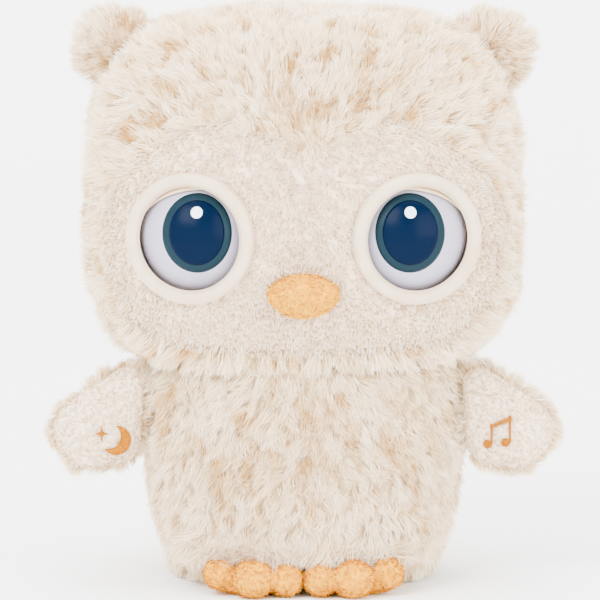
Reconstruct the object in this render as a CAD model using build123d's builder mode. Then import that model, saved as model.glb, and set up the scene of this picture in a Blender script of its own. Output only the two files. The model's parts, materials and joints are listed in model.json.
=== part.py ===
from build123d import *
import os
from math import cos, copysign, pi, radians, sin

# Interactive plush owl, millimetres. The owl stands on Z = 0, +Z is up, and it faces -Y.
# Left and right are the owl's own sides: left is +X, right is -X.
# The origin is under the middle of the whole toy.

# ---- driving dimensions -------------------------------------------------------------
MID_Y = 2.0                   # the plush forms are centred here, which centres the box
SEAM_Z = 76.0                 # sewn ring where the head meets the body
PILE_SHELL = 4.0              # thickness of the fur fabric with its backing

HEAD_POWER = 2.7              # squareness of the head's plan
HEAD_LEVELS = (               # height, half width, half depth
    (76.0, 55.0, 44.0),
    (82.0, 62.5, 49.5),
    (90.0, 69.0, 54.0),
    (101.0, 73.0, 56.5),
    (118.0, 74.0, 57.0),
    (137.0, 73.5, 57.0),
    (153.0, 70.5, 55.0),
    (167.0, 64.5, 51.0),
    (178.5, 55.5, 45.0),
    (187.0, 44.0, 36.5),
    (192.2, 30.0, 25.5),
    (194.0, 14.0, 12.0),
)

BODY_POWER = 2.3
BODY_LEVELS = (
    (0.0, 40.0, 38.0),
    (5.0, 44.5, 42.0),
    (15.0, 48.5, 45.5),
    (31.0, 52.5, 47.0),
    (47.0, 55.0, 47.0),
    (62.0, 56.0, 46.0),
    (76.0, 55.0, 44.0),
)

EYE_X = 34.2                  # eyeball centres
EYE_Y = MID_Y - 38.2
EYE_Z = 122.5
EYE_YAW = 16.0                # the sockets turn outwards
GAZE_YAW = 5.3                # the printed irises look nearly straight ahead and a little up
GAZE_PITCH = 8.0
EYEBALL_R = 21.1
EYEBALL_WALL = 1.2
LID_IN_R = 21.6
LID_OUT_R = 22.5
CUP_IN_R = 23.2
CUP_OUT_R = 24.6
CUP_RIM = 8.0                 # the cup ends this far in front of the eyeball's centre
BEZEL_IN_R = 17.6
BEZEL_OUT_R = 22.3
BEZEL_BACK = 14.8             # depths of the bezel's section before the eyeball's centre
BEZEL_LIP = 16.0
BEZEL_CREST = (19.9, 17.3)    # radius and depth
BEZEL_EDGE = 15.0
BEZEL_FOOT_R = 21.75
BEZEL_RELIEF = (19.9, 12.1)
CARRIER_FRONT = -4.0          # the eyeball's open back, behind its centre
CARRIER_R = 20.0
CARRIER_STEM_R = 3.0
CARRIER_THICK = 2.0
LED_BOARD_R = 8.0
LED_BOARD_THICK = 1.2
LED_R = 2.5
LED_TALL = 2.0

LID_FRONT_ANGLE = 50.0        # lid edge above straight ahead, lids open; 58 below it when shut
LID_BACK_ANGLE = 160.0
LID_TOP_ANGLE = 101.0         # a middle corner of the tool that cuts the lids
LID_POLE_R = 3.6

SHAFT_R = 1.5
PIN_R = 1.0
RUNNING_GAP = 0.06
MODULE = 0.75
LID_TEETH = 24
IDLER_TEETH = 24
PINION_TEETH = 12
LID_GEAR_R = MODULE * LID_TEETH / 2
IDLER_GEAR_R = MODULE * IDLER_TEETH / 2
PINION_GEAR_R = MODULE * PINION_TEETH / 2
IDLER_Y = EYE_Y + LID_GEAR_R + IDLER_GEAR_R
MOTOR_Y = IDLER_Y + IDLER_GEAR_R + PINION_GEAR_R
CASE_HALF = 8.0               # half width of the gear case
CASE_WALL = 1.5

WING_PIVOT = (60.0, 68.0)     # X and Z of the shoulder
WING_BACK_Y = MID_Y - 11.0
WING_SPLIT_Y = MID_Y - 21.5
WING_FRONT_Y = MID_Y - 25.0
BUTTON_X = 66.0
BUTTON_Z = 50.0
BUTTON_R = 8.4
BUTTON_TRAVEL = 1.2

BOX_HALF_W = 31.0             # sound box, half width
BOX_LOW = 14.0
BOX_HIGH = 74.0
BOX_FRONT_Y = MID_Y - 8.0
BOX_SPLIT_Y = MID_Y + 12.0
BOX_BACK_Y = MID_Y + 31.0
BOX_WALL = 1.6
CELL_R = 7.25
CELL_LENGTH = 50.5
CELL_PITCH = 15.0
CELL_LOW_Z = 25.0
CELL_Y = MID_Y + 22.0
DOOR_LOW = 18.0
DOOR_HIGH = 62.0
DOOR_HALF_W = 25.0
DOOR_THICK = 1.8

FLAP_HALF_W = 27.0
FLAP_LOW = 12.0
FLAP_HIGH = 69.0
FLAP_GAP = 0.5
FLAP_THICK = 3.0

FAR = 150.0                   # longer than any piece, for cutting tools
PAST = 1.0                    # how far a cutting tool runs past a face
SEAT_GAP = 0.1                # between seated pieces

os.makedirs("parts", exist_ok=True)
SIDES = ((1, "left"), (-1, "right"))


def save(builder, name):
    """Label a finished piece and write its STEP file."""
    builder.part.label = name
    export_step(builder.part, "parts/" + name + ".step")


# ---- plush forms --------------------------------------------------------------------
def oval(half_w, half_d, power, count=28):
    """Points of a squared oval about the plush centre line."""
    points = []
    for step in range(count):
        turn = 2 * pi * step / count
        x = half_w * copysign(abs(cos(turn)) ** (2 / power), cos(turn))
        y = half_d * copysign(abs(sin(turn)) ** (2 / power), sin(turn))
        points.append((x, y + MID_Y))
    return points


def plush_form(levels, power, inset=0.0, drop=0.0):
    """A stuffed form lofted through its levels, drawn in by the inset, its top lowered."""
    top = levels[-1][0]
    with BuildPart() as form:
        for height, half_w, half_d in levels:
            share = (height - SEAM_Z) / (top - SEAM_Z) if drop else 0.0
            with BuildSketch(Plane.XY.offset(height - drop * share)):
                with BuildLine():
                    Spline(*oval(half_w - inset, half_d - inset, power), periodic=True)
                make_face()
        loft()
    return form.part


def block(low, high):
    """A box between two corners, as a cutting tool."""
    with BuildPart() as tool:
        middle = tuple((a + b) / 2 for a, b in zip(low, high))
        with Locations(middle):
            Box(*(b - a for a, b in zip(low, high)))
    return tool.part


head_outside = plush_form(HEAD_LEVELS, HEAD_POWER)
head_inside = plush_form(HEAD_LEVELS, HEAD_POWER, PILE_SHELL, PILE_SHELL)
body_outside = plush_form(BODY_LEVELS, BODY_POWER)
body_inside = plush_form(BODY_LEVELS, BODY_POWER, PILE_SHELL)


def eye_plane(side):
    """The socket's own plane: origin at the eyeball's centre, normal out of the socket."""
    out = (side * sin(radians(EYE_YAW)), -cos(radians(EYE_YAW)), 0)
    return Plane(origin=(side * EYE_X, EYE_Y, EYE_Z), x_dir=(-out[1], out[0], 0), z_dir=out)


def gaze_plane(side):
    """The plane that the printed iris faces along."""
    flat = cos(radians(GAZE_PITCH))
    out = (
        side * sin(radians(GAZE_YAW)) * flat,
        -cos(radians(GAZE_YAW)) * flat,
        sin(radians(GAZE_PITCH)),
    )
    across = (-out[1], out[0], 0)
    return Plane(origin=(side * EYE_X, EYE_Y, EYE_Z), x_dir=across, z_dir=out)


# The room that the eye mechanism takes inside the head.
ROOM_GAP = 0.4
PLATE_ROOM = (118.0, 5.0, 48.0)
MOTOR_ROOM = (45.0, 52.0, 37.0)
MOTOR_ROOM_X = 13.5
MOTOR_ROOM_BACK = 13.2        # its middle, behind the lid axis
with BuildPart() as head_room:
    for side, _ in SIDES:
        with Locations(eye_plane(side).location):
            Sphere(CUP_OUT_R + ROOM_GAP)
        with BuildSketch(eye_plane(side)):
            Circle(BEZEL_OUT_R + 1.5 * SEAT_GAP)
        extrude(amount=FAR)
    with Locations((0, EYE_Y, EYE_Z)):
        Box(*PLATE_ROOM)
    with Locations((MOTOR_ROOM_X, EYE_Y + MOTOR_ROOM_BACK, EYE_Z)):
        Box(*MOTOR_ROOM)

# ---- head fabric --------------------------------------------------------------------
# The face panel's edge: two lobes that meet in a dip over the beak.
FACE_EDGE = (
    (0, 153.2), (11, 156), (30, 161), (46, 155.2), (59, 145), (66, 133),
    (67.5, 119), (63.5, 100.5), (55, 89.5), (38, 84.3), (0, 82.5),
)
with BuildPart() as face_prism:
    with BuildSketch(Plane.XZ):
        with BuildLine():
            Spline(*FACE_EDGE, tangents=((1, 0.25), (-1, 0)))
            Spline(*((-x, z) for x, z in FACE_EDGE), tangents=((-1, 0.25), (1, 0)))
        make_face()
    extrude(amount=FAR)

with BuildPart() as hood_plush:
    add(head_outside)
    add(head_inside, mode=Mode.SUBTRACT)
    add(face_prism.part, mode=Mode.SUBTRACT)
save(hood_plush, "hood_plush")

with BuildPart() as face_panel:
    add(head_outside)
    add(head_inside, mode=Mode.SUBTRACT)
    add(face_prism.part, mode=Mode.INTERSECT)
    add(head_room.part, mode=Mode.SUBTRACT)
save(face_panel, "face_panel")

WIRE_R = 1.8
WIRE_Y = EYE_Y + 16.0
WIRE_TOP = EYE_Z - LID_GEAR_R - 2.5
WIRE_GAP = 0.2

with BuildPart() as head_wire_bundle:
    with BuildSketch(Plane.XY.offset(BOX_HIGH)):
        with Locations((0, WIRE_Y)):
            Circle(WIRE_R)
    extrude(amount=WIRE_TOP - BOX_HIGH)
save(head_wire_bundle, "head_wire_bundle")

with BuildPart() as head_stuffing:
    add(head_inside)
    add(head_room.part, mode=Mode.SUBTRACT)
    with Locations((0, WIRE_Y, SEAM_Z)):
        Cylinder(WIRE_R + WIRE_GAP, FAR / 2, mode=Mode.SUBTRACT)
save(head_stuffing, "head_stuffing")

EAR_CENTRE = (66.0, MID_Y + 4.0, 180.0)
EAR_RADII = (12.0, 9.0, 13.0)


def pad(radii, centre, turn=0):
    """A stuffed pad sewn against the head, its back following the head."""
    with BuildPart() as ball:
        Sphere(1)
        scale(by=radii)
    with BuildPart() as piece:
        add(ball.part.moved(Location(centre, (0, 0, turn))))
        add(head_outside, mode=Mode.SUBTRACT)
    return piece


for side, name in SIDES:
    ear_place = (side * EAR_CENTRE[0], EAR_CENTRE[1], EAR_CENTRE[2])
    save(pad(EAR_RADII, ear_place, 90 - 90 * side), "ear_" + name)

BEAK_Z = 103.5
BEAK_RADII = (13.2, 7.5, 8.3)
BEAK_Y = MID_Y - 54.5
save(pad(BEAK_RADII, (0, BEAK_Y, BEAK_Z)), "beak")

# ---- body fabric --------------------------------------------------------------------
REAR_Y = MID_Y + 10.0          # cutting tools for the back start here
flap_window = block((-FLAP_HALF_W, REAR_Y, FLAP_LOW), (FLAP_HALF_W, FAR, FLAP_HIGH))
flap_cut = block(
    (-FLAP_HALF_W + FLAP_GAP, REAR_Y, FLAP_LOW + FLAP_GAP),
    (FLAP_HALF_W - FLAP_GAP, FAR, FLAP_HIGH - FLAP_GAP),
)
with BuildPart() as body_plush:
    add(body_outside)
    add(body_inside, mode=Mode.SUBTRACT)
    add(flap_window, mode=Mode.SUBTRACT)
save(body_plush, "body_plush")

BASE_THICK = 2.0
with BuildPart() as base_panel:
    add(body_inside)
    split(bisect_by=Plane.XY.offset(BASE_THICK), keep=Keep.BOTTOM)
save(base_panel, "base_panel")

BOX_ROOM_GAP = 0.5
LOOP_LOW = 9.7
box_room = block(
    (-BOX_HALF_W - BOX_ROOM_GAP, BOX_FRONT_Y - BOX_ROOM_GAP, LOOP_LOW - BOX_ROOM_GAP),
    (BOX_HALF_W + BOX_ROOM_GAP, FAR, BOX_HIGH + BOX_ROOM_GAP),
)
with BuildPart() as body_stuffing:
    add(body_inside)
    split(bisect_by=Plane.XY.offset(BASE_THICK), keep=Keep.TOP)
    add(box_room, mode=Mode.SUBTRACT)
    with Locations((0, WIRE_Y, SEAM_Z)):
        Cylinder(WIRE_R + WIRE_GAP, FAR / 2, mode=Mode.SUBTRACT)
save(body_stuffing, "body_stuffing")

# Back flap over the battery door, with hook tape on it and loop tape on the body.
HOOK_THICK = 0.9
LOOP_THICK = 1.0
LOOP_SKIN = PILE_SHELL + 0.2
TAPE_HALF_W = 22.0
TAPE_HIGH = 21.0
flap_inside = plush_form(BODY_LEVELS, BODY_POWER, FLAP_THICK)
tape_inside = plush_form(BODY_LEVELS, BODY_POWER, FLAP_THICK + HOOK_THICK)
loop_outside = plush_form(BODY_LEVELS, BODY_POWER, LOOP_SKIN)
loop_inside = plush_form(BODY_LEVELS, BODY_POWER, LOOP_SKIN + LOOP_THICK)
with BuildPart() as back_flap:
    add(body_outside)
    add(flap_inside, mode=Mode.SUBTRACT)
    add(flap_cut, mode=Mode.INTERSECT)
save(back_flap, "back_flap")

with BuildPart() as hook_tape:
    add(flap_inside)
    add(tape_inside, mode=Mode.SUBTRACT)
    add(
        block((-TAPE_HALF_W, REAR_Y, FLAP_LOW + PAST), (TAPE_HALF_W, FAR, TAPE_HIGH)),
        mode=Mode.INTERSECT,
    )
save(hook_tape, "hook_tape")

with BuildPart() as loop_tape:
    add(loop_outside)
    add(loop_inside, mode=Mode.SUBTRACT)
    add(
        block((-TAPE_HALF_W, REAR_Y, LOOP_LOW), (TAPE_HALF_W, FAR, TAPE_HIGH)),
        mode=Mode.INTERSECT,
    )
save(loop_tape, "loop_tape")

# ---- feet ---------------------------------------------------------------------------
FOOT_X = 17.0
TOE_R = 6.0
TOE_PITCH = 11.0
TOE_Z = 5.4
TOE_FRONT_Y = MID_Y - 60.5
TOE_SETBACK = 2.5             # the outer toes stand behind the middle one
TOE_LENGTH = 34.0
TOE_TIP_R = 5.6


def toe_form(toe):
    """One stuffed toe, rounded at its front."""
    with BuildPart() as form:
        with BuildSketch(Plane.XZ.offset(-TOE_FRONT_Y - TOE_SETBACK * abs(toe))):
            with Locations((FOOT_X + toe * TOE_PITCH, TOE_Z)):
                Circle(TOE_R)
        extrude(amount=-TOE_LENGTH)
        fillet(form.faces().sort_by(Axis.Y)[0].edges(), TOE_TIP_R)
    return form.part


with BuildPart() as foot_left:
    for toe in (-1, 0, 1):
        add(toe_form(toe))
    split(bisect_by=Plane.XY, keep=Keep.TOP)
    add(body_outside, mode=Mode.SUBTRACT)
save(foot_left, "foot_left")
with BuildPart() as foot_right:
    mirror(foot_left.part, about=Plane.YZ)
save(foot_right, "foot_right")

# ---- eyes ---------------------------------------------------------------------------
IRIS_HALF = (11.8, 13.45)
PUPIL_HALF = (9.4, 10.95)
GLINT_R = 2.25
GLINT_RISE = 6.8
PRINT_STEP = 0.12


def print_layer(side, layer, half_w, half_h, rise=0.0, hole=None):
    """A thin printed patch on the front of an eyeball, with an outline seen along the gaze."""
    low = EYEBALL_R + PRINT_STEP * layer
    with BuildPart() as patch:
        with BuildSketch(gaze_plane(side)):
            with Locations((0, rise)):
                Ellipse(half_w, half_h)
            if hole:
                Ellipse(*hole, mode=Mode.SUBTRACT)
        extrude(amount=30)
        with Locations(gaze_plane(side).location):
            Sphere(low + PRINT_STEP, mode=Mode.INTERSECT)
            Sphere(low, mode=Mode.SUBTRACT)
    return patch.part


def rim(side):
    """Bezel ring, its back relieved so that the lid passes under it."""
    with BuildPart() as ring:
        with BuildSketch(Plane.XZ):
            with BuildLine():
                Polyline((BEZEL_IN_R, BEZEL_BACK), (BEZEL_IN_R, BEZEL_LIP))
                Spline((BEZEL_IN_R, BEZEL_LIP), BEZEL_CREST, (BEZEL_OUT_R, BEZEL_EDGE))
                Polyline(
                    (BEZEL_OUT_R, BEZEL_EDGE), (BEZEL_OUT_R, CUP_RIM + SEAT_GAP),
                    (BEZEL_FOOT_R, CUP_RIM + SEAT_GAP), BEZEL_RELIEF, (BEZEL_IN_R, BEZEL_BACK),
                )
            make_face()
        revolve(axis=Axis.Z)
    return eye_plane(side).location * ring.part


glints = []
for side, name in SIDES:
    plane = eye_plane(side)

    with BuildPart() as bezel:
        add(rim(side))
    save(bezel, "bezel_" + name)

    with BuildPart() as eyeball:
        with Locations(plane.location):
            Sphere(EYEBALL_R)
            Sphere(EYEBALL_R - EYEBALL_WALL, mode=Mode.SUBTRACT)
        split(bisect_by=plane.offset(CARRIER_FRONT), keep=Keep.TOP)
    save(eyeball, "eyeball_" + name)

    with BuildPart() as iris:
        add(print_layer(side, 0, *IRIS_HALF))
    save(iris, "iris_" + name)

    with BuildPart() as pupil:
        add(print_layer(side, 1, *PUPIL_HALF))
    save(pupil, "pupil_" + name)

    glints.append(print_layer(side, 2, GLINT_R, GLINT_R, GLINT_RISE))


with BuildPart() as eyeball_carriers:
    for side, _ in SIDES:
        with BuildSketch(eye_plane(side).offset(CARRIER_FRONT)):
            Circle(CARRIER_R)
        extrude(amount=-CARRIER_THICK)
        with BuildSketch(eye_plane(side).offset(CARRIER_FRONT - CARRIER_THICK)):
            Circle(CARRIER_STEM_R)
        extrude(amount=-(CUP_OUT_R + CARRIER_FRONT - CARRIER_THICK))
save(eyeball_carriers, "eyeball_carriers")

with BuildPart() as led_boards:
    for side, _ in SIDES:
        lamp_low = CARRIER_FRONT + LED_BOARD_THICK
        with BuildSketch(eye_plane(side).offset(CARRIER_FRONT)):
            Circle(LED_BOARD_R)
        extrude(amount=LED_BOARD_THICK)
        with BuildSketch(eye_plane(side).offset(lamp_low)):
            Circle(LED_R)
        extrude(amount=LED_TALL)
        with Locations(eye_plane(side).offset(lamp_low + LED_TALL).location):
            Sphere(LED_R)
save(led_boards, "led_boards")

with BuildPart() as eye_glints:
    for glint in glints:
        add(glint)
save(eye_glints, "eye_glints")

# ---- eye mechanism ------------------------------------------------------------------
PLATE_W = 114.0
PLATE_HALF_H = 20.0
PLATE_CORNER = 12.0
PLATE_THICK = 2.2
PLATE_FRONT_Y = EYE_Y - 1.0
CASE_ROOM_HALF_H = 12.0
SCREW_X = 3.6
SCREW_Z = 14.8
SCREW_R = 1.0
SCREW_HEAD_R = 1.9
SCREW_HEAD_TALL = 1.3
TAB_THICK = 2.0
TAB_LOW = 10.8                # screw tabs, from the shaft's height
TAB_HIGH = 17.4
TAB_PAST_SCREW = 2.6
case_room = block(
    (-CASE_HALF - ROOM_GAP, EYE_Y - EYEBALL_R, EYE_Z - CASE_ROOM_HALF_H),
    (CASE_HALF + ROOM_GAP, EYE_Y + EYEBALL_R, EYE_Z + CASE_ROOM_HALF_H),
)

with BuildPart() as eye_frame:
    with BuildSketch(Plane.XZ.offset(-PLATE_FRONT_Y)):
        with Locations((0, EYE_Z)):
            RectangleRounded(PLATE_W, 2 * PLATE_HALF_H, PLATE_CORNER)
    extrude(amount=-PLATE_THICK)
    for side, _ in SIDES:
        with Locations(eye_plane(side).location):
            Sphere(CUP_OUT_R)
    for side, _ in SIDES:
        plane = eye_plane(side)
        with Locations(plane.location):
            Sphere(CUP_IN_R, mode=Mode.SUBTRACT)
        with BuildSketch(plane.offset(CUP_RIM)):
            Circle(CUP_OUT_R + PAST)
        extrude(amount=CUP_OUT_R, mode=Mode.SUBTRACT)
        with BuildSketch(plane):
            Circle(CARRIER_STEM_R)
        extrude(amount=-CUP_OUT_R - PAST, mode=Mode.SUBTRACT)
    add(case_room, mode=Mode.SUBTRACT)
    with BuildSketch(Plane.YZ.offset(-EYE_X)):
        with Locations((EYE_Y, EYE_Z)):
            Circle(SHAFT_R + RUNNING_GAP)
    extrude(amount=2 * EYE_X, mode=Mode.SUBTRACT)
    with BuildSketch(Plane.YZ.offset(-EYE_X - CUP_OUT_R - PAST)):
        with Locations((EYE_Y, EYE_Z)):
            Circle(PIN_R)
    extrude(amount=2 * (EYE_X + CUP_OUT_R + PAST), mode=Mode.SUBTRACT)
    for x in (-SCREW_X, SCREW_X):
        for z in (-SCREW_Z, SCREW_Z):
            with BuildSketch(Plane.XZ.offset(-PLATE_FRONT_Y + PAST)):
                with Locations((x, EYE_Z + z)):
                    Circle(SCREW_R)
            extrude(amount=-PLATE_THICK - 2 * PAST, mode=Mode.SUBTRACT)
save(eye_frame, "eye_frame")

# Outer lid pins and the idler's pin.
PIVOT_PAST = 0.3              # a shaft or pin stands this far inside its lid
with BuildPart() as pivot_pins:
    for side, _ in SIDES:
        with BuildSketch(Plane.YZ.offset(side * (EYE_X + LID_IN_R - PIVOT_PAST))):
            with Locations((EYE_Y, EYE_Z)):
                Circle(PIN_R)
        extrude(amount=side * (CUP_OUT_R - LID_IN_R + SEAT_GAP))
    with BuildSketch(Plane.YZ.offset(-CASE_HALF)):
        with Locations((IDLER_Y, EYE_Z)):
            Circle(PIN_R)
    extrude(amount=2 * CASE_HALF)
save(pivot_pins, "pivot_pins")

with BuildPart() as lid_shaft:
    with BuildSketch(Plane.YZ.offset(-EYE_X + LID_IN_R - PIVOT_PAST)):
        with Locations((EYE_Y, EYE_Z)):
            Circle(SHAFT_R)
    extrude(amount=2 * (EYE_X - LID_IN_R + PIVOT_PAST))
save(lid_shaft, "lid_shaft")


def spoke(angle, length):
    """A point at an angle above straight ahead, about the lid axis, in the YZ plane."""
    return (EYE_Y - length * cos(radians(angle)), EYE_Z + length * sin(radians(angle)))


for side, name in SIDES:
    with BuildPart() as wedge:
        with BuildSketch(Plane.YZ.offset(side * EYE_X)):
            with BuildLine():
                Polyline(
                    (EYE_Y, EYE_Z), spoke(LID_FRONT_ANGLE, FAR), spoke(LID_TOP_ANGLE, FAR),
                    spoke(LID_BACK_ANGLE, FAR), (EYE_Y, EYE_Z),
                )
            make_face()
            with Locations((EYE_Y, EYE_Z)):
                Circle(LID_POLE_R)
        extrude(amount=CUP_OUT_R, both=True)
    with BuildPart() as eyelid:
        with Locations((side * EYE_X, EYE_Y, EYE_Z)):
            Sphere(LID_OUT_R)
            Sphere(LID_IN_R, mode=Mode.SUBTRACT)
        add(wedge.part, mode=Mode.INTERSECT)
        with BuildSketch(Plane.YZ):
            with Locations((EYE_Y, EYE_Z)):
                Circle(SHAFT_R)
        extrude(amount=side * EYE_X, mode=Mode.SUBTRACT)
        with BuildSketch(Plane.YZ.offset(side * EYE_X)):
            with Locations((EYE_Y, EYE_Z)):
                Circle(PIN_R + RUNNING_GAP)
        extrude(amount=side * CUP_OUT_R, mode=Mode.SUBTRACT)
    save(eyelid, "eyelid_" + name)

ADDENDUM = 0.6
DEDENDUM = 0.9
ROOT_OVERLAP = 0.3            # a tooth starts this far inside the gear's root circle
TOOTH_SHARES = (0.29, 0.205, 0.1)   # half a tooth at root, pitch and tip, as shares of the pitch
GEAR_W = 4.0
PINION_W = 5.0


def spur_gear(y, teeth, width, bore, phase=0.0):
    """A spur gear on an X axis at this Y, its first tooth turned by a share of the pitch."""
    pitch_r = MODULE * teeth / 2
    with BuildPart() as gear:
        with BuildSketch(Plane.YZ.offset(-width / 2)):
            with Locations((y, EYE_Z)):
                Circle(pitch_r - DEDENDUM)
            for tooth in range(teeth):
                middle = 360 * (tooth + phase) / teeth
                outline = []
                reaches = (-DEDENDUM - ROOT_OVERLAP, 0, ADDENDUM)
                for reach, share in zip(reaches, TOOTH_SHARES):
                    outline.append((pitch_r + reach, share * 360 / teeth))
                flank = [(r, middle - a) for r, a in outline]
                flank += [(r, middle + a) for r, a in reversed(outline)]
                corners = [
                    (y + r * cos(radians(a)), EYE_Z + r * sin(radians(a))) for r, a in flank
                ]
                with BuildLine():
                    Polyline(*corners, close=True)
                make_face()
            with Locations((y, EYE_Z)):
                Circle(bore, mode=Mode.SUBTRACT)
        extrude(amount=width)
    return gear


save(spur_gear(EYE_Y, LID_TEETH, GEAR_W, SHAFT_R), "lid_gear")
save(spur_gear(IDLER_Y, IDLER_TEETH, GEAR_W, PIN_R + RUNNING_GAP, 0.5), "idler_gear")
save(spur_gear(MOTOR_Y, PINION_TEETH, PINION_W, SHAFT_R), "motor_pinion")

MOTOR_LENGTH = 24.0
MOTOR_SECTION = (12.0, 10.0)
MOTOR_CORNER = 1.5
MOTOR_NOSE_R = 2.2
MOTOR_NOSE = 1.2
MOTOR_SHAFT_LOW = -5.0
MOTOR_SHAFT_IN = 4.0          # how far the shaft goes into the motor
with BuildPart() as motor_shaft:
    with BuildSketch(Plane.YZ.offset(MOTOR_SHAFT_LOW)):
        with Locations((MOTOR_Y, EYE_Z)):
            Circle(SHAFT_R)
    extrude(amount=CASE_HALF + MOTOR_SHAFT_IN - MOTOR_SHAFT_LOW)
save(motor_shaft, "motor_shaft")

with BuildPart() as lid_motor:
    with BuildSketch(Plane.YZ.offset(CASE_HALF)):
        with Locations((MOTOR_Y, EYE_Z)):
            RectangleRounded(*MOTOR_SECTION, MOTOR_CORNER)
    extrude(amount=MOTOR_LENGTH)
    with BuildSketch(Plane.YZ.offset(CASE_HALF + MOTOR_LENGTH)):
        with Locations((MOTOR_Y, EYE_Z)):
            Circle(MOTOR_NOSE_R)
    extrude(amount=MOTOR_NOSE)
    with BuildSketch(Plane.YZ.offset(CASE_HALF)):
        with Locations((MOTOR_Y, EYE_Z)):
            Circle(SHAFT_R + RUNNING_GAP)
    extrude(amount=MOTOR_SHAFT_IN + 2 * SEAT_GAP, mode=Mode.SUBTRACT)
save(lid_motor, "lid_motor")


CASE_RADII = (11.5, 11.5, 7.0)  # round the lid gear, the idler and the pinion


def case_outline(inset):
    """The gear case follows its three gears."""
    with BuildSketch(Plane.YZ) as outline:
        for y, radius in zip((EYE_Y, IDLER_Y, MOTOR_Y), CASE_RADII):
            with Locations((y, EYE_Z)):
                Circle(radius - inset)
        make_hull()
    return outline.sketch


for side, name in SIDES:
    with BuildPart() as gear_case:
        extrude(case_outline(0), amount=side * CASE_HALF, dir=(1, 0, 0))
        extrude(
            case_outline(CASE_WALL), amount=side * (CASE_HALF - CASE_WALL), dir=(1, 0, 0),
            mode=Mode.SUBTRACT,
        )
        for z in (-SCREW_Z, SCREW_Z):
            low_x, high_x = sorted((0.0, side * (SCREW_X + TAB_PAST_SCREW)))
            low_z, high_z = sorted((copysign(TAB_LOW, z), copysign(TAB_HIGH, z)))
            tab_y = PLATE_FRONT_Y + PLATE_THICK
            add(
                block(
                    (low_x, tab_y, EYE_Z + low_z), (high_x, tab_y + TAB_THICK, EYE_Z + high_z)
                )
            )
            with BuildSketch(Plane.XZ.offset(-tab_y + PAST)):
                with Locations((side * SCREW_X, EYE_Z + z)):
                    Circle(SCREW_R)
            extrude(amount=-TAB_THICK - 2 * PAST, mode=Mode.SUBTRACT)
        for y, radius in (
            (EYE_Y, SHAFT_R + RUNNING_GAP), (IDLER_Y, PIN_R), (MOTOR_Y, SHAFT_R + RUNNING_GAP),
        ):
            if y == MOTOR_Y and side < 0:
                continue
            with BuildSketch(Plane.YZ):
                with Locations((y, EYE_Z)):
                    Circle(radius)
            extrude(amount=side * (CASE_HALF + PAST), mode=Mode.SUBTRACT)
    save(gear_case, "gear_case_" + name)

with BuildPart() as gear_case_screws:
    for x in (-SCREW_X, SCREW_X):
        for z in (-SCREW_Z, SCREW_Z):
            rear = PLATE_FRONT_Y + PLATE_THICK + TAB_THICK
            with BuildSketch(Plane.XZ.offset(-rear)):
                with Locations((x, EYE_Z + z)):
                    Circle(SCREW_R)
            extrude(amount=PLATE_THICK + TAB_THICK)
            with BuildSketch(Plane.XZ.offset(-rear)):
                with Locations((x, EYE_Z + z)):
                    Circle(SCREW_HEAD_R)
            extrude(amount=-SCREW_HEAD_TALL)
save(gear_case_screws, "gear_case_screws")

# ---- wings --------------------------------------------------------------------------
PALM_CIRCLES = ((*WING_PIVOT, 5.2), (74.5, 52.5, 9.5), (72.0, 48.5, 8.5), (64.0, 49.0, 7.5))
BACK_ROUND = 4.5
FRONT_ROUND = 3.2
BUTTON_FLOOR_Y = WING_BACK_Y - 3.5
BUTTON_FLOOR_THICK = 1.4
BUTTON_WALL = 1.2
BUTTON_RISE = 1.2             # the base's rim ends this far behind the palm's cloth
BUTTON_POST_R = 2.0
BUTTON_POST_TALL = 1.2
CAP_GAP = 0.4
CAP_THICK = 1.3


def palm_outline(side):
    """Mitten outline: a small round shoulder that widens to the palm."""
    with BuildSketch(Plane.XZ) as outline:
        for x, z, radius in PALM_CIRCLES:
            with Locations((side * x, z)):
                Circle(radius)
        make_hull()
    return outline.sketch


def disc(side, radius, front_y, back_y):
    """A disc on the button's axis, as a sub-part or a cutting tool."""
    with BuildPart() as round_piece:
        with BuildSketch(Plane.XZ.offset(-back_y)):
            with Locations((side * BUTTON_X, BUTTON_Z)):
                Circle(radius)
        extrude(amount=back_y - front_y)
    return round_piece.part


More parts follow.
